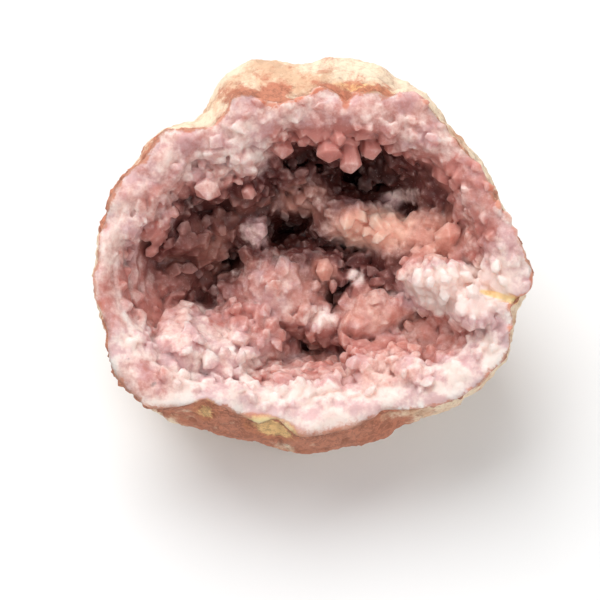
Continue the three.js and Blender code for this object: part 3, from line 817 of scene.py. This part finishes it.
def quartz_material(colours):
    """Milky pink quartz with a faint gloss, a faint painted highlight on its points, painted shade in its
    creases in rose, pale specks that stand for painted glints, and soaked with stain next to the rind. The
    attribute inward is the distance in from the rind's edge, in millimetres."""
    graph = Graph("quartz")
    names = ("crest", "pale", "inward", "rust", "gold")
    crest, pale, inward, rust, gold = (graph.attribute(name) for name in names)
    fine = graph.noise(0.8, 4, 0.75)
    skin = quartz_colour(graph, colours)
    # A faint painted highlight: paler on the crests of the crystals.
    skin = graph.mix(graph.span(crest, 0.1, 1.0) * 0.1, skin, colours.pale)
    # Painted shade in the creases between crystals, mixed in as rose.
    crease_shade = graph.span(crest, -0.9, -0.1, 0.2, 0) * graph.span(pale, 0.5, 1.4, 1, 0.3)
    skin = graph.mix(crease_shade, skin, colours.rose)
    # Small pale specks that stand for glints on the grains: painted glints.
    specks = graph.span(graph.noise(0.5, 2, 0.6), 0.62, 0.72)
    skin = graph.mix(specks * 0.15, skin, colours.pale)
    soaked = graph.span(rust + gold + (fine - 0.5) * 0.8, 0.65, 1.1)
    soaked = soaked * graph.span(inward, 1.2, 3.4, 1, 0).math("MAXIMUM", graph.span(gold, 1, 1.4))
    edge = graph.span(inward + (graph.noise(2.2, 3, 0.7) - 0.5) * 3.2, 0.0, 0.7, 1, 0)
    edge = edge * graph.span(graph.noise(12, 2, 0.5), 0.4, 0.56, 0.2, 0.85)
    stain = graph.mix(graph.span(gold + (fine - 0.5) * 1.5, 0.3, 1.2), colours.rust, colours.ochre)
    skin = graph.mix(edge, graph.mix(soaked * 0.85, skin, stain), stain)
    rough = graph.span(graph.noise(1.6, 3, 0.6), 0.3, 0.7, 0.32, 0.6)
    normal = graph.bump(graph.noise(1.3, 3, 0.6), 0.12)
    normal = graph.bump(1 - graph.cells(0.6), 0.04, normal)
    graph.set(
        Base_Color=skin,
        Roughness=rough,
        Normal=normal,
        IOR=1.54,
        Specular_IOR_Level=0.22,
        Subsurface_Weight=0.9,
        Subsurface_Radius=(1.0, 0.82, 0.78),
        Subsurface_Scale=0.004,
    )
    return graph.material


def rind_material(colours):
    """Dull, grainy skin: cream and tan patches, yellow stains, rust and brown specks, most along the broken
    edge, and painted shade in its hollows, as umber. The attribute inward is the distance in from the rind's
    edge, in millimetres and less than 0 on the outside, and relief how far the skin stands out."""
    graph = Graph("rind")
    inward, relief, rust, gold = (graph.attribute(name) for name in ("inward", "relief", "rust", "gold"))
    fine = graph.noise(0.8, 4, 0.75)
    patches = graph.noise(11, 4, 0.62)
    skin = graph.mix(graph.span(patches + (fine - 0.5) * 0.3, 0.36, 0.56), colours.tan, colours.cream)
    skin = graph.mix(graph.span(gold + (patches - 0.5) + (fine - 0.5) * 0.5, 0.35, 0.7), skin, colours.ochre)
    edge = graph.span(inward, -5, 0, 0, 0.24)
    yellow = graph.span(gold + (fine - 0.5) * 0.9, 0.5, 2.1, 0, 0.5)
    stain = graph.span(graph.noise(4.5, 4, 0.7) + edge + rust * 0.3 - yellow, 0.52, 0.74)
    skin = graph.mix(stain * 0.9, skin, colours.rust)
    # Painted shade in the rind's hollows, as umber, strongest near the broken edge.
    hollow_shade = graph.span(relief, 0.2, -1.2) * (0.25 + edge)
    skin = graph.mix(hollow_shade, skin, colours.umber)
    specks = graph.span(graph.noise(1.4, 5, 0.8) + rust * 0.1 + edge * 0.3, 0.58, 0.7)
    skin = graph.mix(specks * 0.4, skin, colours.umber)
    grit = graph.cells(0.75, output="Color") - 0.5
    skin = graph.tone(skin, 0.8 + fine * 0.4 + grit * edge * 2.2)
    coarse = graph.bump(graph.noise(1.1, 5, 0.8), 0.4)
    graph.set(
        Base_Color=skin,
        Roughness=0.85,
        Normal=graph.bump((1 - graph.cells(0.75)) * edge * 4, 0.3, coarse),
        IOR=1.5,
    )
    return graph.material


def floor_material(colours):
    graph = Graph("floor")
    shade = graph.noise(60)
    graph.set(Base_Color=graph.tone(colours.floor, 0.98 + shade * 0.04), Roughness=0.7)
    return graph.material


# ---- Pieces ---------------------------------------------------------------------------------------


def around(columns):
    """The angles of a grid's columns, as one row."""
    return np.linspace(0, TURN, columns, endpoint=False)[None, :]


def rim_surface(angle, across, sizes):
    """The broken band from the hollow's edge (across 0) to the rind's edge (across 1): (u, v, w).

    Its height is the rim's, plus a crown and slow swells over its middle and three sizes of flat-faced
    grains, less the fissure, and it rounds over to the rind.
    """
    r = lerp(hollow_edge(angle), rind_edge(angle) + 0.15, across)
    u, v = polar(r, angle)
    crown = np.sin(np.pi * np.clip(across, 0, 1))
    height, size, seed = BAND_SWELL
    base = rim_height(angle) + (RIM_CROWN + height * noise(u / size, v / size, seed)) * crown
    base = base + rim_rise(angle) * across - RIM_ROUNDING * np.clip(across, 0, 1) ** 8
    base = base - FISSURE_DEPTH * np.exp(-oval_distance(u, v, *FISSURE))
    rough = grain_stack(u, v, base, RIM_GRAINS) - RIM_GRAIN_LEVEL
    return u, v, base + sizes.rim_grain / MM * rough * lerp(0.5, 1, crown)


def rind_surface(angle, turn, sizes):
    """The outside, moved in and out from the stone's middle by lumps, flat-faced grains and small holes, and
    how far: (u, v, w, out)."""
    u, v, w = back_point(angle, turn)
    near_edge = np.exp(-turn / RIND_EDGE_REACH)
    rough = RIND_LUMPINESS * sum(height * noise(u / size, v / size, w / size) for height, size in RIND_LUMPS)
    for height, more, size, seed in RIND_GRAINS:
        rough = rough + (height + more * near_edge) * (grains(u, v, w, size, seed) - 0.5)
    depth, more, size, seed = RIND_HOLES
    holes = smooth((noise(u / size + seed, v / size, w / size) - 0.5) / 0.2)
    out = (rough - (depth + more * near_edge) * holes) * smooth(turn / 0.012)
    swell = 1 + sizes.rind_grain / MM * out / BACK_DEPTH
    return u * swell, v * swell, w * swell, out


def build_shell(sizes, colours):
    """The rind as one closed surface: the bed of the crust, the ledge under the broken band, and the
    outside."""
    columns = sizes.columns
    angle = around(columns)
    share = (np.arange(1, BED_RINGS + 1) / BED_RINGS)[:, None]
    rings = [np.broadcast_arrays(*under_lining(angle, share, crust_thickness(share)))]
    across = np.linspace(0, 1, LEDGE_RINGS)[:, None]
    r = lerp(hollow_edge(angle) + REBATE, rind_edge(angle), across)
    low = rim_height(angle) + rim_rise(angle) * across - RIM_ROUNDING - RIM_BED * (1 - across**3)
    rings.append(np.broadcast_arrays(*polar(r, angle), low))
    turn = (np.arange(1, OUTSIDE_RINGS + 1) / (OUTSIDE_RINGS + 1))[:, None] ** 1.25
    *grid, relief = np.broadcast_arrays(*rind_surface(angle, turn, sizes))
    rings.append(grid)
    u, v, w = (np.concatenate([ring[k] for ring in rings]) for k in range(3))

    first = under_lining(np.zeros(1), np.zeros(1), CRUST_THICKNESS)
    last = back_point(np.zeros(1), np.ones(1))
    points = np.concatenate([place(*first), place(u, v, w).reshape(-1, 3), place(*last)])
    points[:, 2] = np.maximum(points[:, 2], 0)
    shell = add_mesh("geode_shell", points, ring_faces(len(u), columns), True)

    inside = np.zeros((BED_RINGS + LEDGE_RINGS, columns))
    rust, gold = stains(u, v, w)
    values = {
        "inward": np.concatenate([inside, -turn * BACK_LENGTH * BACK_DEPTH + 0 * angle]),
        "relief": np.concatenate([inside, relief]),
        "rust": rust,
        "gold": gold,
    }
    set_attributes(shell, {name: np.pad(numbers.ravel(), 1) for name, numbers in values.items()})
    finish_piece(shell, rind_material(colours), "shell")


def tints(u, v, w):
    """Paleness, warmth, depth of colour with painted shade, and calm over the lining.

    It is palest at the rim, and paler still towards the rim's bottom, as painted light where the band faces
    the lamp.
    Its colour is deeper low in the hollow, partly the crystals' own colour and partly painted shade, and it
    carries painted shade under its upper wall. TINTS, the pits and the streaked wall change that: the pits
    add painted shade, and the band's pinholes are painted dark, brown and painted shade.
    """
    # Palest at the rim, and paler towards the opening's bottom as painted light.
    pale = (RIM_PALENESS + PAINTED_LIGHT_SLOPE * v) * ease(w, -7, 0) + LEAST_PALENESS
    mean, swing, size, seed = WARMTH
    warm = mean + swing * noise(u / size, v / size, seed)
    # Deeper low in the hollow: partly the crystals' own colour, partly painted shade.
    depth_and_shade = ease(-w, 5, 20) + 0.3 * ease(-w, 20, 30)
    # Painted shade under the upper wall, which faces away from the lamp above.
    depth_and_shade = depth_and_shade + 1.1 * ease(v, -11, 10) * ease(-w, 2, 9)
    calm = CALM + 0 * u
    for patch in TINTS:
        share = np.exp(-(oval_distance(u, v, *patch[:4]) ** 2))
        pale, warm, calm = (lerp(was, to, share) for was, to in zip((pale, warm, calm), patch[4:]))
        # Each patch lessens the painted shade where it is made pale or warm.
        depth_and_shade = depth_and_shade * (1 - 0.6 * share * max(patch[4:6]))
    # Painted shade at the bottom of each pit, by its darkness.
    for *oval, _, pit_shade in PITS:
        depth_and_shade = depth_and_shade + pit_shade * np.exp(-(oval_distance(u, v, *oval) ** PIT_POWER)) * ease(-w, 7, 15)
    pale = pale + 0.35 * streaks(u, v) * noise(v / 9, w / 0.7, 5)
    ragged = 1 + 0.6 * noise(u / 0.3, v / 0.3, 3)
    # The pinholes are painted dark: their own brown and painted shade for the holes.
    for hole in PINHOLES:
        depth_and_shade = depth_and_shade + 1.5 * np.exp(-oval_distance(u, v, *hole) * ragged)
    return pale, warm, depth_and_shade, calm


def stains(u, v, w):
    """Rust and gold over the rind and the band, from STAINS, fading down the outside."""
    rust, gold = 0 * u, 0 * u
    for *oval, most_rust, most_gold in STAINS:
        share = np.exp(-oval_distance(u, v, *oval))
        rust = np.maximum(rust, share * most_rust)
        gold = np.maximum(gold, share * most_gold)
    return rust * ease(w, -26, -6), gold * ease(w, -13, -3)


def streaks(u, v):
    """Where the lining is a bare, streaked wall, from 0 to 1."""
    return np.exp(-(oval_distance(u, v, *STREAKED_WALL) ** 2))


def druse(u, v, w, share, sizes):
    """How far the lining between its crystals stands out of its even surface: three sizes of flat-faced
    points, which give way to long low ridges on the streaked wall."""
    calm = tints(u, v, w)[3]
    rows = [(lerp(lively, still, calm), size, seed) for lively, still, size, seed in DRUSE_GRAINS]
    rough = grain_stack(u, v, w, rows) - DRUSE_LEVEL
    wall = 0.5 * noise(v / 9, w / 1.1, 5) + 0.3 * noise(v / 5, w / 0.6, 9) + 0.5 * noise(u / 3, v / 3, w / 3)
    rough = lerp(rough, wall, streaks(u, v))
    return sizes.druse_grain / MM * rough * lerp(0.3, 1, smooth((1 - share) / 0.05))


def lining_sheet(sizes):
    """The crust between its crystals: the lining with its points, and its underside.

    Its edge runs on under the grains of the broken band, so that no gap shows between them.
    """
    angle = around(sizes.columns)
    share = (1 - (1 - np.arange(1, LINING_RINGS + 1) / LINING_RINGS) ** 1.35)[:, None]
    r = share * hollow_edge(angle) + 1.3 * smooth((share - 0.93) / 0.07)
    u, v = polar(r, angle)
    w = lining_height(u, v)
    out = druse(u, v, w, share, sizes)
    over = [x + out * along for x, along in zip((u, v, w), np.moveaxis(lining_normal(u, v), -1, 0))]

    below = (1 - np.arange(UNDERSIDE_RINGS) / UNDERSIDE_RINGS)[:, None]
    beneath = np.broadcast_arrays(*under_lining(angle, below, crust_thickness(below) - GAP))
    grid = [np.concatenate(rings).ravel() for rings in zip(over, beneath)]
    middle = np.zeros(1)
    first = [middle, middle, lining_height(middle, middle)]
    last = under_lining(middle, middle, CRUST_THICKNESS - GAP)
    points = np.concatenate([np.stack(part, -1) for part in (first, grid, last)])
    return points, ring_faces(LINING_RINGS + UNDERSIDE_RINGS, sizes.columns)


def rim_sheet(sizes):
    """The broken band as a closed ring: its surface, from the upper lining out to the rind, and its
    underside."""
    angle = around(sizes.columns)
    share = np.linspace(0.95, 1, LIP_RINGS, endpoint=False)[:, None]
    lip = np.moveaxis(on_face(angle, share), -1, 0) + np.array([0, 0, -1.2])[:, None, None]
    across = np.linspace(0, 1, BAND_RINGS)[:, None]
    top = np.broadcast_arrays(*rim_surface(angle, across, sizes))
    back = np.linspace(1, 0, BAND_UNDER_RINGS)[:, None]
    r = lerp(hollow_edge(angle) + 0.6, rind_edge(angle) - 0.7, back)
    low = rim_height(angle) + rim_rise(angle) * back - RIM_BED
    base = np.broadcast_arrays(*polar(r, angle), low)
    u, v, w = (np.concatenate(rings) for rings in zip(lip, top, base))
    return np.stack([u, v, w], -1).reshape(-1, 3), hoop_faces(len(u), sizes.columns)


def spaced(points, spacing):
    """Which of these points to keep so that none is closer to another than the spacing.

    Each point outranks those after it. In each round a point is kept if no better one nearby is undecided,
    and then rules out its neighbours.
    """
    count = len(points)
    square = (points**2).sum(1)
    near = (square[:, None] + square[None] - 2 * points @ points.T) < spacing**2
    np.fill_diagonal(near, False)
    better = near & (np.arange(count)[None] < np.arange(count)[:, None])
    undecided, kept = np.ones(count, bool), np.zeros(count, bool)
    while undecided.any():
        winners = undecided & ~(better & undecided[None]).any(1)
        kept |= winners
        undecided &= ~winners & ~(near & winners[None]).any(1)
    return kept


def on_face(angle, share):
    """Points on the lining for shares up to 1, and on across the broken band for shares from 1 to 2."""
    across = np.maximum(share - 1, 0)
    edge = hollow_edge(angle)
    r = np.minimum(share, 1) * edge + across * (rind_edge(angle) - edge)
    u, v = polar(r, angle)
    band = rim_height(angle) + RIM_CROWN * np.sin(np.pi * across) + rim_rise(angle) * across
    return np.stack([u, v, np.where(share < 1, lining_height(u, v), band)], -1)


def block_spots():
    """The spots of the solid crust's own crystals: drawn in turn, and kept where no other is close."""
    i = np.arange(BLOCKS_DRAWN)
    drawn = on_face(TURN * chance(i * 1.7 + 0.3), OUTERMOST_BLOCK * chance(i * 2.9 + 5.1) ** WALL_CROWDING)
    return drawn[spaced(drawn, BLOCK_SPACING)]


def loose_spots(rng, count, spacing):
    drawn = on_face(rng.uniform(0, TURN, count), OUTERMOST_LOOSE * rng.random(count) ** WALL_CROWDING)
    return drawn[spaced(drawn, spacing)]


def on_druse(spot, sizes):
    """Spots of the even lining, moved out to its druse, without those in the mouths of the pits and on the
    streaked wall."""
    u, v = swayed(spot[:, 0], spot[:, 1])
    open_pit = sum(oval_distance(u, v, *pit[:5]) < PIT_MOUTH for pit in PITS) > 0
    spot = spot[~open_pit & (streaks(spot[:, 0], spot[:, 1]) < 0.4)]
    share = np.hypot(spot[:, 0], spot[:, 1]) / hollow_edge(np.arctan2(spot[:, 1], spot[:, 0]))
    out = druse(*spot.T, share, sizes)
    return spot + out[:, None] * lining_normal(spot[:, 0], spot[:, 1])


def leaning(spot, rng, lean):
    """Directions for crystals on the lining: square to it, strayed by lean, and never straight down."""
    ranges = ((-0.8, 0.8), (-0.8, 0.8), (0, 1))
    stray = np.stack([rng.uniform(*limits, len(spot)) for limits in ranges], -1)
    return unit(lining_normal(spot[:, 0], spot[:, 1]) + lean * stray)


def with_kin(foot, axis, radius, tall, rng, kin):
    """Each crystal with smaller ones round its foot, which lean away from it."""
    siblings, splay, heights = kin
    many = (len(foot), siblings)
    side = unit(np.cross(axis, [0.3, 0.5, 0.8]))
    across = np.cross(axis, side)
    turn = TURN * (np.arange(siblings) + rng.uniform(-0.3, 0.3, many)) / siblings
    outward = np.cos(turn)[..., None] * side[:, None] + np.sin(turn)[..., None] * across[:, None]
    smaller = rng.uniform(0.5, 0.85, many)
    shorter = rng.uniform(*heights, many)
    feet = foot[:, None] + outward * (radius[:, None] * rng.uniform(0.6, 1.1, many))[..., None]
    axes = unit(axis[:, None] + outward * splay * rng.uniform(0.5, 1.3, (*many, 1)))
    return (
        np.concatenate([foot, feet.reshape(-1, 3)]),
        np.concatenate([axis, axes.reshape(-1, 3)]),
        np.concatenate([radius, (radius[:, None] * smaller).ravel()]),
        np.concatenate([tall, (tall[:, None] * shorter).ravel()]),
    )


def lining_crystals(sizes, rng):
    """The crystals of the hollow in sets, each as foot, axis, radius, height of the shoulder and height of
    the point in radii: those listed one by one, the solid crust's blocks, and medium and small ones."""
    rows = np.array(LARGE_CRYSTALS)
    grown = with_kin(rows[:, :3], unit(rows[:, 3:6]), rows[:, 6], rows[:, 7], rng, LARGE_KIN)
    yield *grown, rng.uniform(*LARGE_POINTS, len(grown[0]))

    for kind in (BLOCKS, MEDIUM):
        drawn = block_spots() if kind is BLOCKS else loose_spots(rng, MEDIUM_DRAWN, sizes.medium_spacing / MM)
        spot = on_druse(drawn, sizes)
        calm = tints(*spot.T)[3]
        axis = leaning(spot, rng, LEAN)
        radius = rng.uniform(*kind["radii"], len(spot)) * lerp(1, kind["wider"], calm)
        lower = kind["lower"] * smooth((calm - 0.4) / 0.8)
        tall = CRYSTAL_ROOT + rng.uniform(*kind["rises"], len(spot)) - lower
        grown = with_kin(spot - CRYSTAL_ROOT * axis, axis, radius, tall, rng, kind["kin"])
        yield *grown, rng.uniform(*POINTS, len(grown[0]))

    spot = on_druse(loose_spots(rng, SMALL_DRAWN, sizes.small_spacing / MM), sizes)
    sugar = tints(*spot.T)[3] + 0.6 * noise(spot[:, 0] / 4, spot[:, 1] / 4, 33)
    spot = spot[rng.random(len(spot)) > 0.9 + sugar]
    axis = leaning(spot, rng, SMALL_LEAN)
    radius = rng.uniform(*SMALL_RADII, len(spot))
    tall = 0.9 + rng.uniform(*SMALL_RISES, len(spot))
    yield spot - SMALL_ROOT * axis, axis, radius, tall, rng.uniform(*SMALL_POINTS, len(spot))


def rim_crystals(sizes, rng):
    """The crystals half sunk in the broken band, as lining_crystals gives its own: fewer and lower outwards,
    and reaching furthest out at the upper right."""
    angle = rng.uniform(0, TURN, BAND_DRAWN)
    reach = sum((more * np.maximum(np.cos(angle - at), 0) for more, at in BAND_REACH_MORE), BAND_REACH)
    share = BAND_START + reach * rng.random(BAND_DRAWN) ** 1.2
    spot = on_face(angle, share)
    fissure = oval_distance(spot[:, 0], spot[:, 1], *FISSURE) < 4
    keep = spaced(spot, sizes.rim_spacing / MM) & ~fissure
    spot, angle, share, reach = spot[keep], angle[keep], share[keep], reach[keep]
    inward = np.stack([-np.cos(angle), -np.sin(angle), 0 * angle], -1)
    axis = unit(inward + [0, 0, 0.8] + rng.uniform(-0.5, 0.5, (len(spot), 3)))
    near = smooth((BAND_START + reach - share) / reach)
    radius = rng.uniform(*BAND_RADII, len(spot)) * lerp(0.9, 1.1, near)
    tall = 1.0 + rng.uniform(*BAND_SINKING, len(spot)) + near * rng.uniform(*BAND_RISES, len(spot))
    yield spot - CRYSTAL_ROOT * axis, axis, radius, tall, rng.uniform(*BAND_POINTS, len(spot))


def prisms(foot, axis, radius, tall, point, rng):
    """Many six-sided crystals at once: their points and their faces.

    Each is a prism that widens from its foot, whose corners lie at uneven distances from its axis, whose
    shoulder is at an uneven height, and whose point stands off its axis. A crystal has thirteen points: six
    at the foot, six at the shoulder, and its own point.
    """
    count = len(foot)
    corner = TURN / 6 * np.arange(6) + rng.uniform(0, TURN, (count, 1))
    reach = radius[:, None] * rng.uniform(0.78, 1.12, (count, 6))
    flat = np.stack([reach * np.cos(corner), reach * np.sin(corner) * rng.uniform(0.65, 1, (count, 1))], -1)
    height = tall[:, None] + radius[:, None] * point[:, None] * rng.uniform(-0.9, 0.2, (count, 6))
    ground = np.concatenate([0.45 * flat, 0 * height[..., None]], -1)
    shoulder = np.concatenate([flat, height[..., None]], -1)
    tip = np.zeros((count, 1, 3))
    tip[:, 0, :2] = radius[:, None] * rng.uniform(-0.4, 0.4, (count, 2))
    tip[:, 0, 2] = tall + radius * point
    local = np.concatenate([ground, shoulder, tip], 1)

    side = unit(np.cross(axis, np.where(np.abs(axis[:, 2:]) < 0.9, [[0, 0, 1.0]], [[1.0, 0, 0]])))
    across = np.cross(axis, side)
    x, y, z = np.moveaxis(local[..., None], 2, 0)
    points = foot[:, None] + (x * side[:, None] + y * across[:, None] + z * axis[:, None])

    a = np.arange(6)
    b = (a + 1) % 6
    sides = np.stack([a, b, b + 6, a + 6], -1)
    cone = np.stack([a + 6, b + 6, np.full(6, 12)], -1)
    start = 13 * np.arange(count)[:, None, None]
    faces = [(start + part).reshape(-1, part.shape[1]) for part in (sides, cone, a[None, ::-1])]
    return points.reshape(-1, 3), faces


def applied(obj):
    """Puts an object's modifiers into its mesh."""
    done = bpy.data.meshes.new_from_object(obj.evaluated_get(bpy.context.evaluated_depsgraph_get()))
    rough = obj.data
    obj.modifiers.clear()
    obj.data = done
    bpy.data.meshes.remove(rough)
    done.name = obj.name


def fuse(obj, voxel, triangles):
    """Makes one closed skin around everything in a mesh that overlaps, of even small faces, wears its edges
    round, and thins it out where it is flat to a number of triangles."""
    remesh = obj.modifiers.new("fuse", "REMESH")
    remesh.mode = "VOXEL"
    remesh.voxel_size = voxel
    worn = obj.modifiers.new("worn", "SMOOTH")
    worn.factor = 0.5
    worn.iterations = EDGE_WEAR
    applied(obj)
    thin = obj.modifiers.new("thin", "DECIMATE")
    thin.ratio = min(1, triangles / (2 * len(obj.data.polygons)))
    thin.use_collapse_triangulate = True
    applied(obj)


def crests(mesh, where, rounds=2):
    """How far each point stands out of its neighbours, from -1 in a crease to 1 on a crest.

    A point's stand is the mean slope, along the way it faces, from the points that it shares an edge with. It
    is then smoothed over those neighbours.
    """
    a, b = flat_array(mesh.edges, "vertices", 2, np.int32).T
    count = np.bincount(a, minlength=len(where)) + np.bincount(b, minlength=len(where))

    def mean(to_a, to_b):
        return (np.bincount(a, to_a, len(where)) + np.bincount(b, to_b, len(where))) / count

    facing = unplace(flat_array(mesh.vertices, "normal", 3) * MM) - unplace(np.zeros((1, 3)))
    way = unit(where[a] - where[b])
    stand = mean((way * facing[a]).sum(-1), -(way * facing[b]).sum(-1))
    for _ in range(rounds):
        stand = (stand + mean(stand[b], stand[a])) / 2
    return np.clip(stand / 0.2, -1, 1)


def build_quartz(sizes, colours):
    """The crust of quartz: the lining of the hollow, its crystals and the broken band, grown together into
    one closed mesh, whose tints come from where its points are."""
    rng = np.random.default_rng(SEED)
    crystals = (*lining_crystals(sizes, rng), *rim_crystals(sizes, rng))
    points, faces = np.zeros((0, 3)), []
    for more, sides in (lining_sheet(sizes), rim_sheet(sizes), *(prisms(*group, rng) for group in crystals)):
        faces += [part + len(points) for part in sides]
        points = np.concatenate([points, more])
    body = add_mesh("crystal_lining", place(*points.T), faces, True)
    fuse(body, sizes.quartz_detail, QUARTZ_TRIANGLES)
    mesh = body.data
    mesh.polygons.foreach_set("use_smooth", np.ones(len(mesh.polygons), bool))
    where = unplace(flat_array(mesh.vertices, "co", 3).astype(float))
    u, v, w = where.T
    pale, warm, depth_and_shade, _ = tints(u, v, w)
    rust, gold = stains(u, v, w)
    inward = rind_edge(np.arctan2(v, u)) - np.hypot(u, v)
    tones = {"pale": pale, "warm": warm, "depth_and_shade": depth_and_shade, "crest": crests(mesh, where)}
    set_attributes(body, {**tones, "inward": inward, "rust": rust, "gold": gold})
    soften(mesh)
    finish_piece(body, quartz_material(colours), "crystal_crust")


# ---- Stage ----------------------------------------------------------------------------------------


def build_stage(stage, colours):
    """A pale floor, a soft sky, two lamps and the camera, which looks straight into the opening."""
    corners = np.array([(-1, -1, 0), (1, -1, 0), (1, 1, 0), (-1, 1, 0)])
    floor = add_mesh("floor", corners * FLOOR_HALF_WIDTH * MM, [np.arange(4)[None]], False)
    floor.data.materials.append(floor_material(colours))

    world = bpy.data.worlds.new("soft_sky")
    world.use_nodes = True
    world.node_tree.nodes["Background"].inputs["Color"].default_value = (1.0, 1.0, 1.0, 1.0)
    world.node_tree.nodes["Background"].inputs["Strength"].default_value = stage.sky
    bpy.context.scene.world = world
    bpy.context.scene.view_settings.view_transform = "Standard"

    middle = Vector(place(0, 0, 0))
    lamps = (("key_lamp", KEY_LAMP, stage.key), ("fill_lamp", FILL_LAMP, stage.fill))
    for name, (where, width), watts in lamps:
        lamp = bpy.data.objects.new(name, bpy.data.lights.new(name, "AREA"))
        lamp.data.energy = watts
        lamp.data.size = width * MM
        lamp.location = Vector(place(*where))
        lamp.rotation_euler = (middle - lamp.location).to_track_quat("-Z", "Y").to_euler()
        bpy.context.scene.collection.objects.link(lamp)

    camera = bpy.data.objects.new("camera", bpy.data.cameras.new("camera"))
    camera.data.sensor_width = SENSOR_WIDTH
    camera.data.lens = SENSOR_WIDTH * stage.distance / stage.view_width
    camera.data.clip_start = 0.01
    turn = Matrix(heading(np.eye(3)).tolist()).transposed().to_4x4()
    stand = place(stage.view_u / MM, stage.view_v / MM, stage.distance / MM)
    camera.matrix_world = Matrix.Translation(Vector(stand)) @ turn
    bpy.context.scene.collection.objects.link(camera)
    bpy.context.scene.camera = camera


# ---- Operators and panel --------------------------------------------------------------------------


class GEODE_OT_shell(bpy.types.Operator):
    """Build the rind"""

    bl_idname = "geode.shell"
    bl_label = "Shell"

    def execute(self, context):
        build_shell(context.scene.geode_sizes, context.scene.geode_colours)
        return {"FINISHED"}


class GEODE_OT_quartz(bpy.types.Operator):
    """Grow the quartz: the lining of the hollow, its crystals and the broken band"""

    bl_idname = "geode.quartz"
    bl_label = "Quartz"

    def execute(self, context):
        build_quartz(context.scene.geode_sizes, context.scene.geode_colours)
        return {"FINISHED"}


class GEODE_OT_stage(bpy.types.Operator):
    """Lay the floor and set the light and the camera"""

    bl_idname = "geode.stage"
    bl_label = "Stage"

    def execute(self, context):
        build_stage(context.scene.geode_stage, context.scene.geode_colours)
        return {"FINISHED"}


OPERATORS = (GEODE_OT_shell, GEODE_OT_quartz, GEODE_OT_stage)


class GEODE_PT_panel(bpy.types.Panel):
    """The geode's operators and settings"""

    bl_label = "Geode half"
    bl_space_type = "VIEW_3D"
    bl_region_type = "UI"
    bl_category = "Geode"

    def draw(self, context):
        for operator in OPERATORS:
            self.layout.operator(operator.bl_idname)
        for settings in (context.scene.geode_sizes, context.scene.geode_colours, context.scene.geode_stage):
            column = self.layout.column()
            for key in settings.bl_rna.properties.keys():
                if key not in ("rna_type", "name"):
                    column.prop(settings, key)


GROUPS = {"geode_sizes": GeodeSizes, "geode_colours": GeodeColours, "geode_stage": GeodeStage}


def register():
    for group in (*GROUPS.values(), *OPERATORS, GEODE_PT_panel):
        bpy.utils.register_class(group)
    for name, group in GROUPS.items():
        setattr(bpy.types.Scene, name, PointerProperty(type=group))


def unregister():
    for name in GROUPS:
        delattr(bpy.types.Scene, name)
    for group in (GEODE_PT_panel, *reversed(OPERATORS), *reversed(GROUPS.values())):
        bpy.utils.unregister_class(group)


def main():
    register()
    for call in (bpy.ops.geode.shell, bpy.ops.geode.quartz, bpy.ops.geode.stage):
        if call() != {"FINISHED"}:
            raise RuntimeError("an operator didn't finish")


if __name__ == "__main__":
    main()
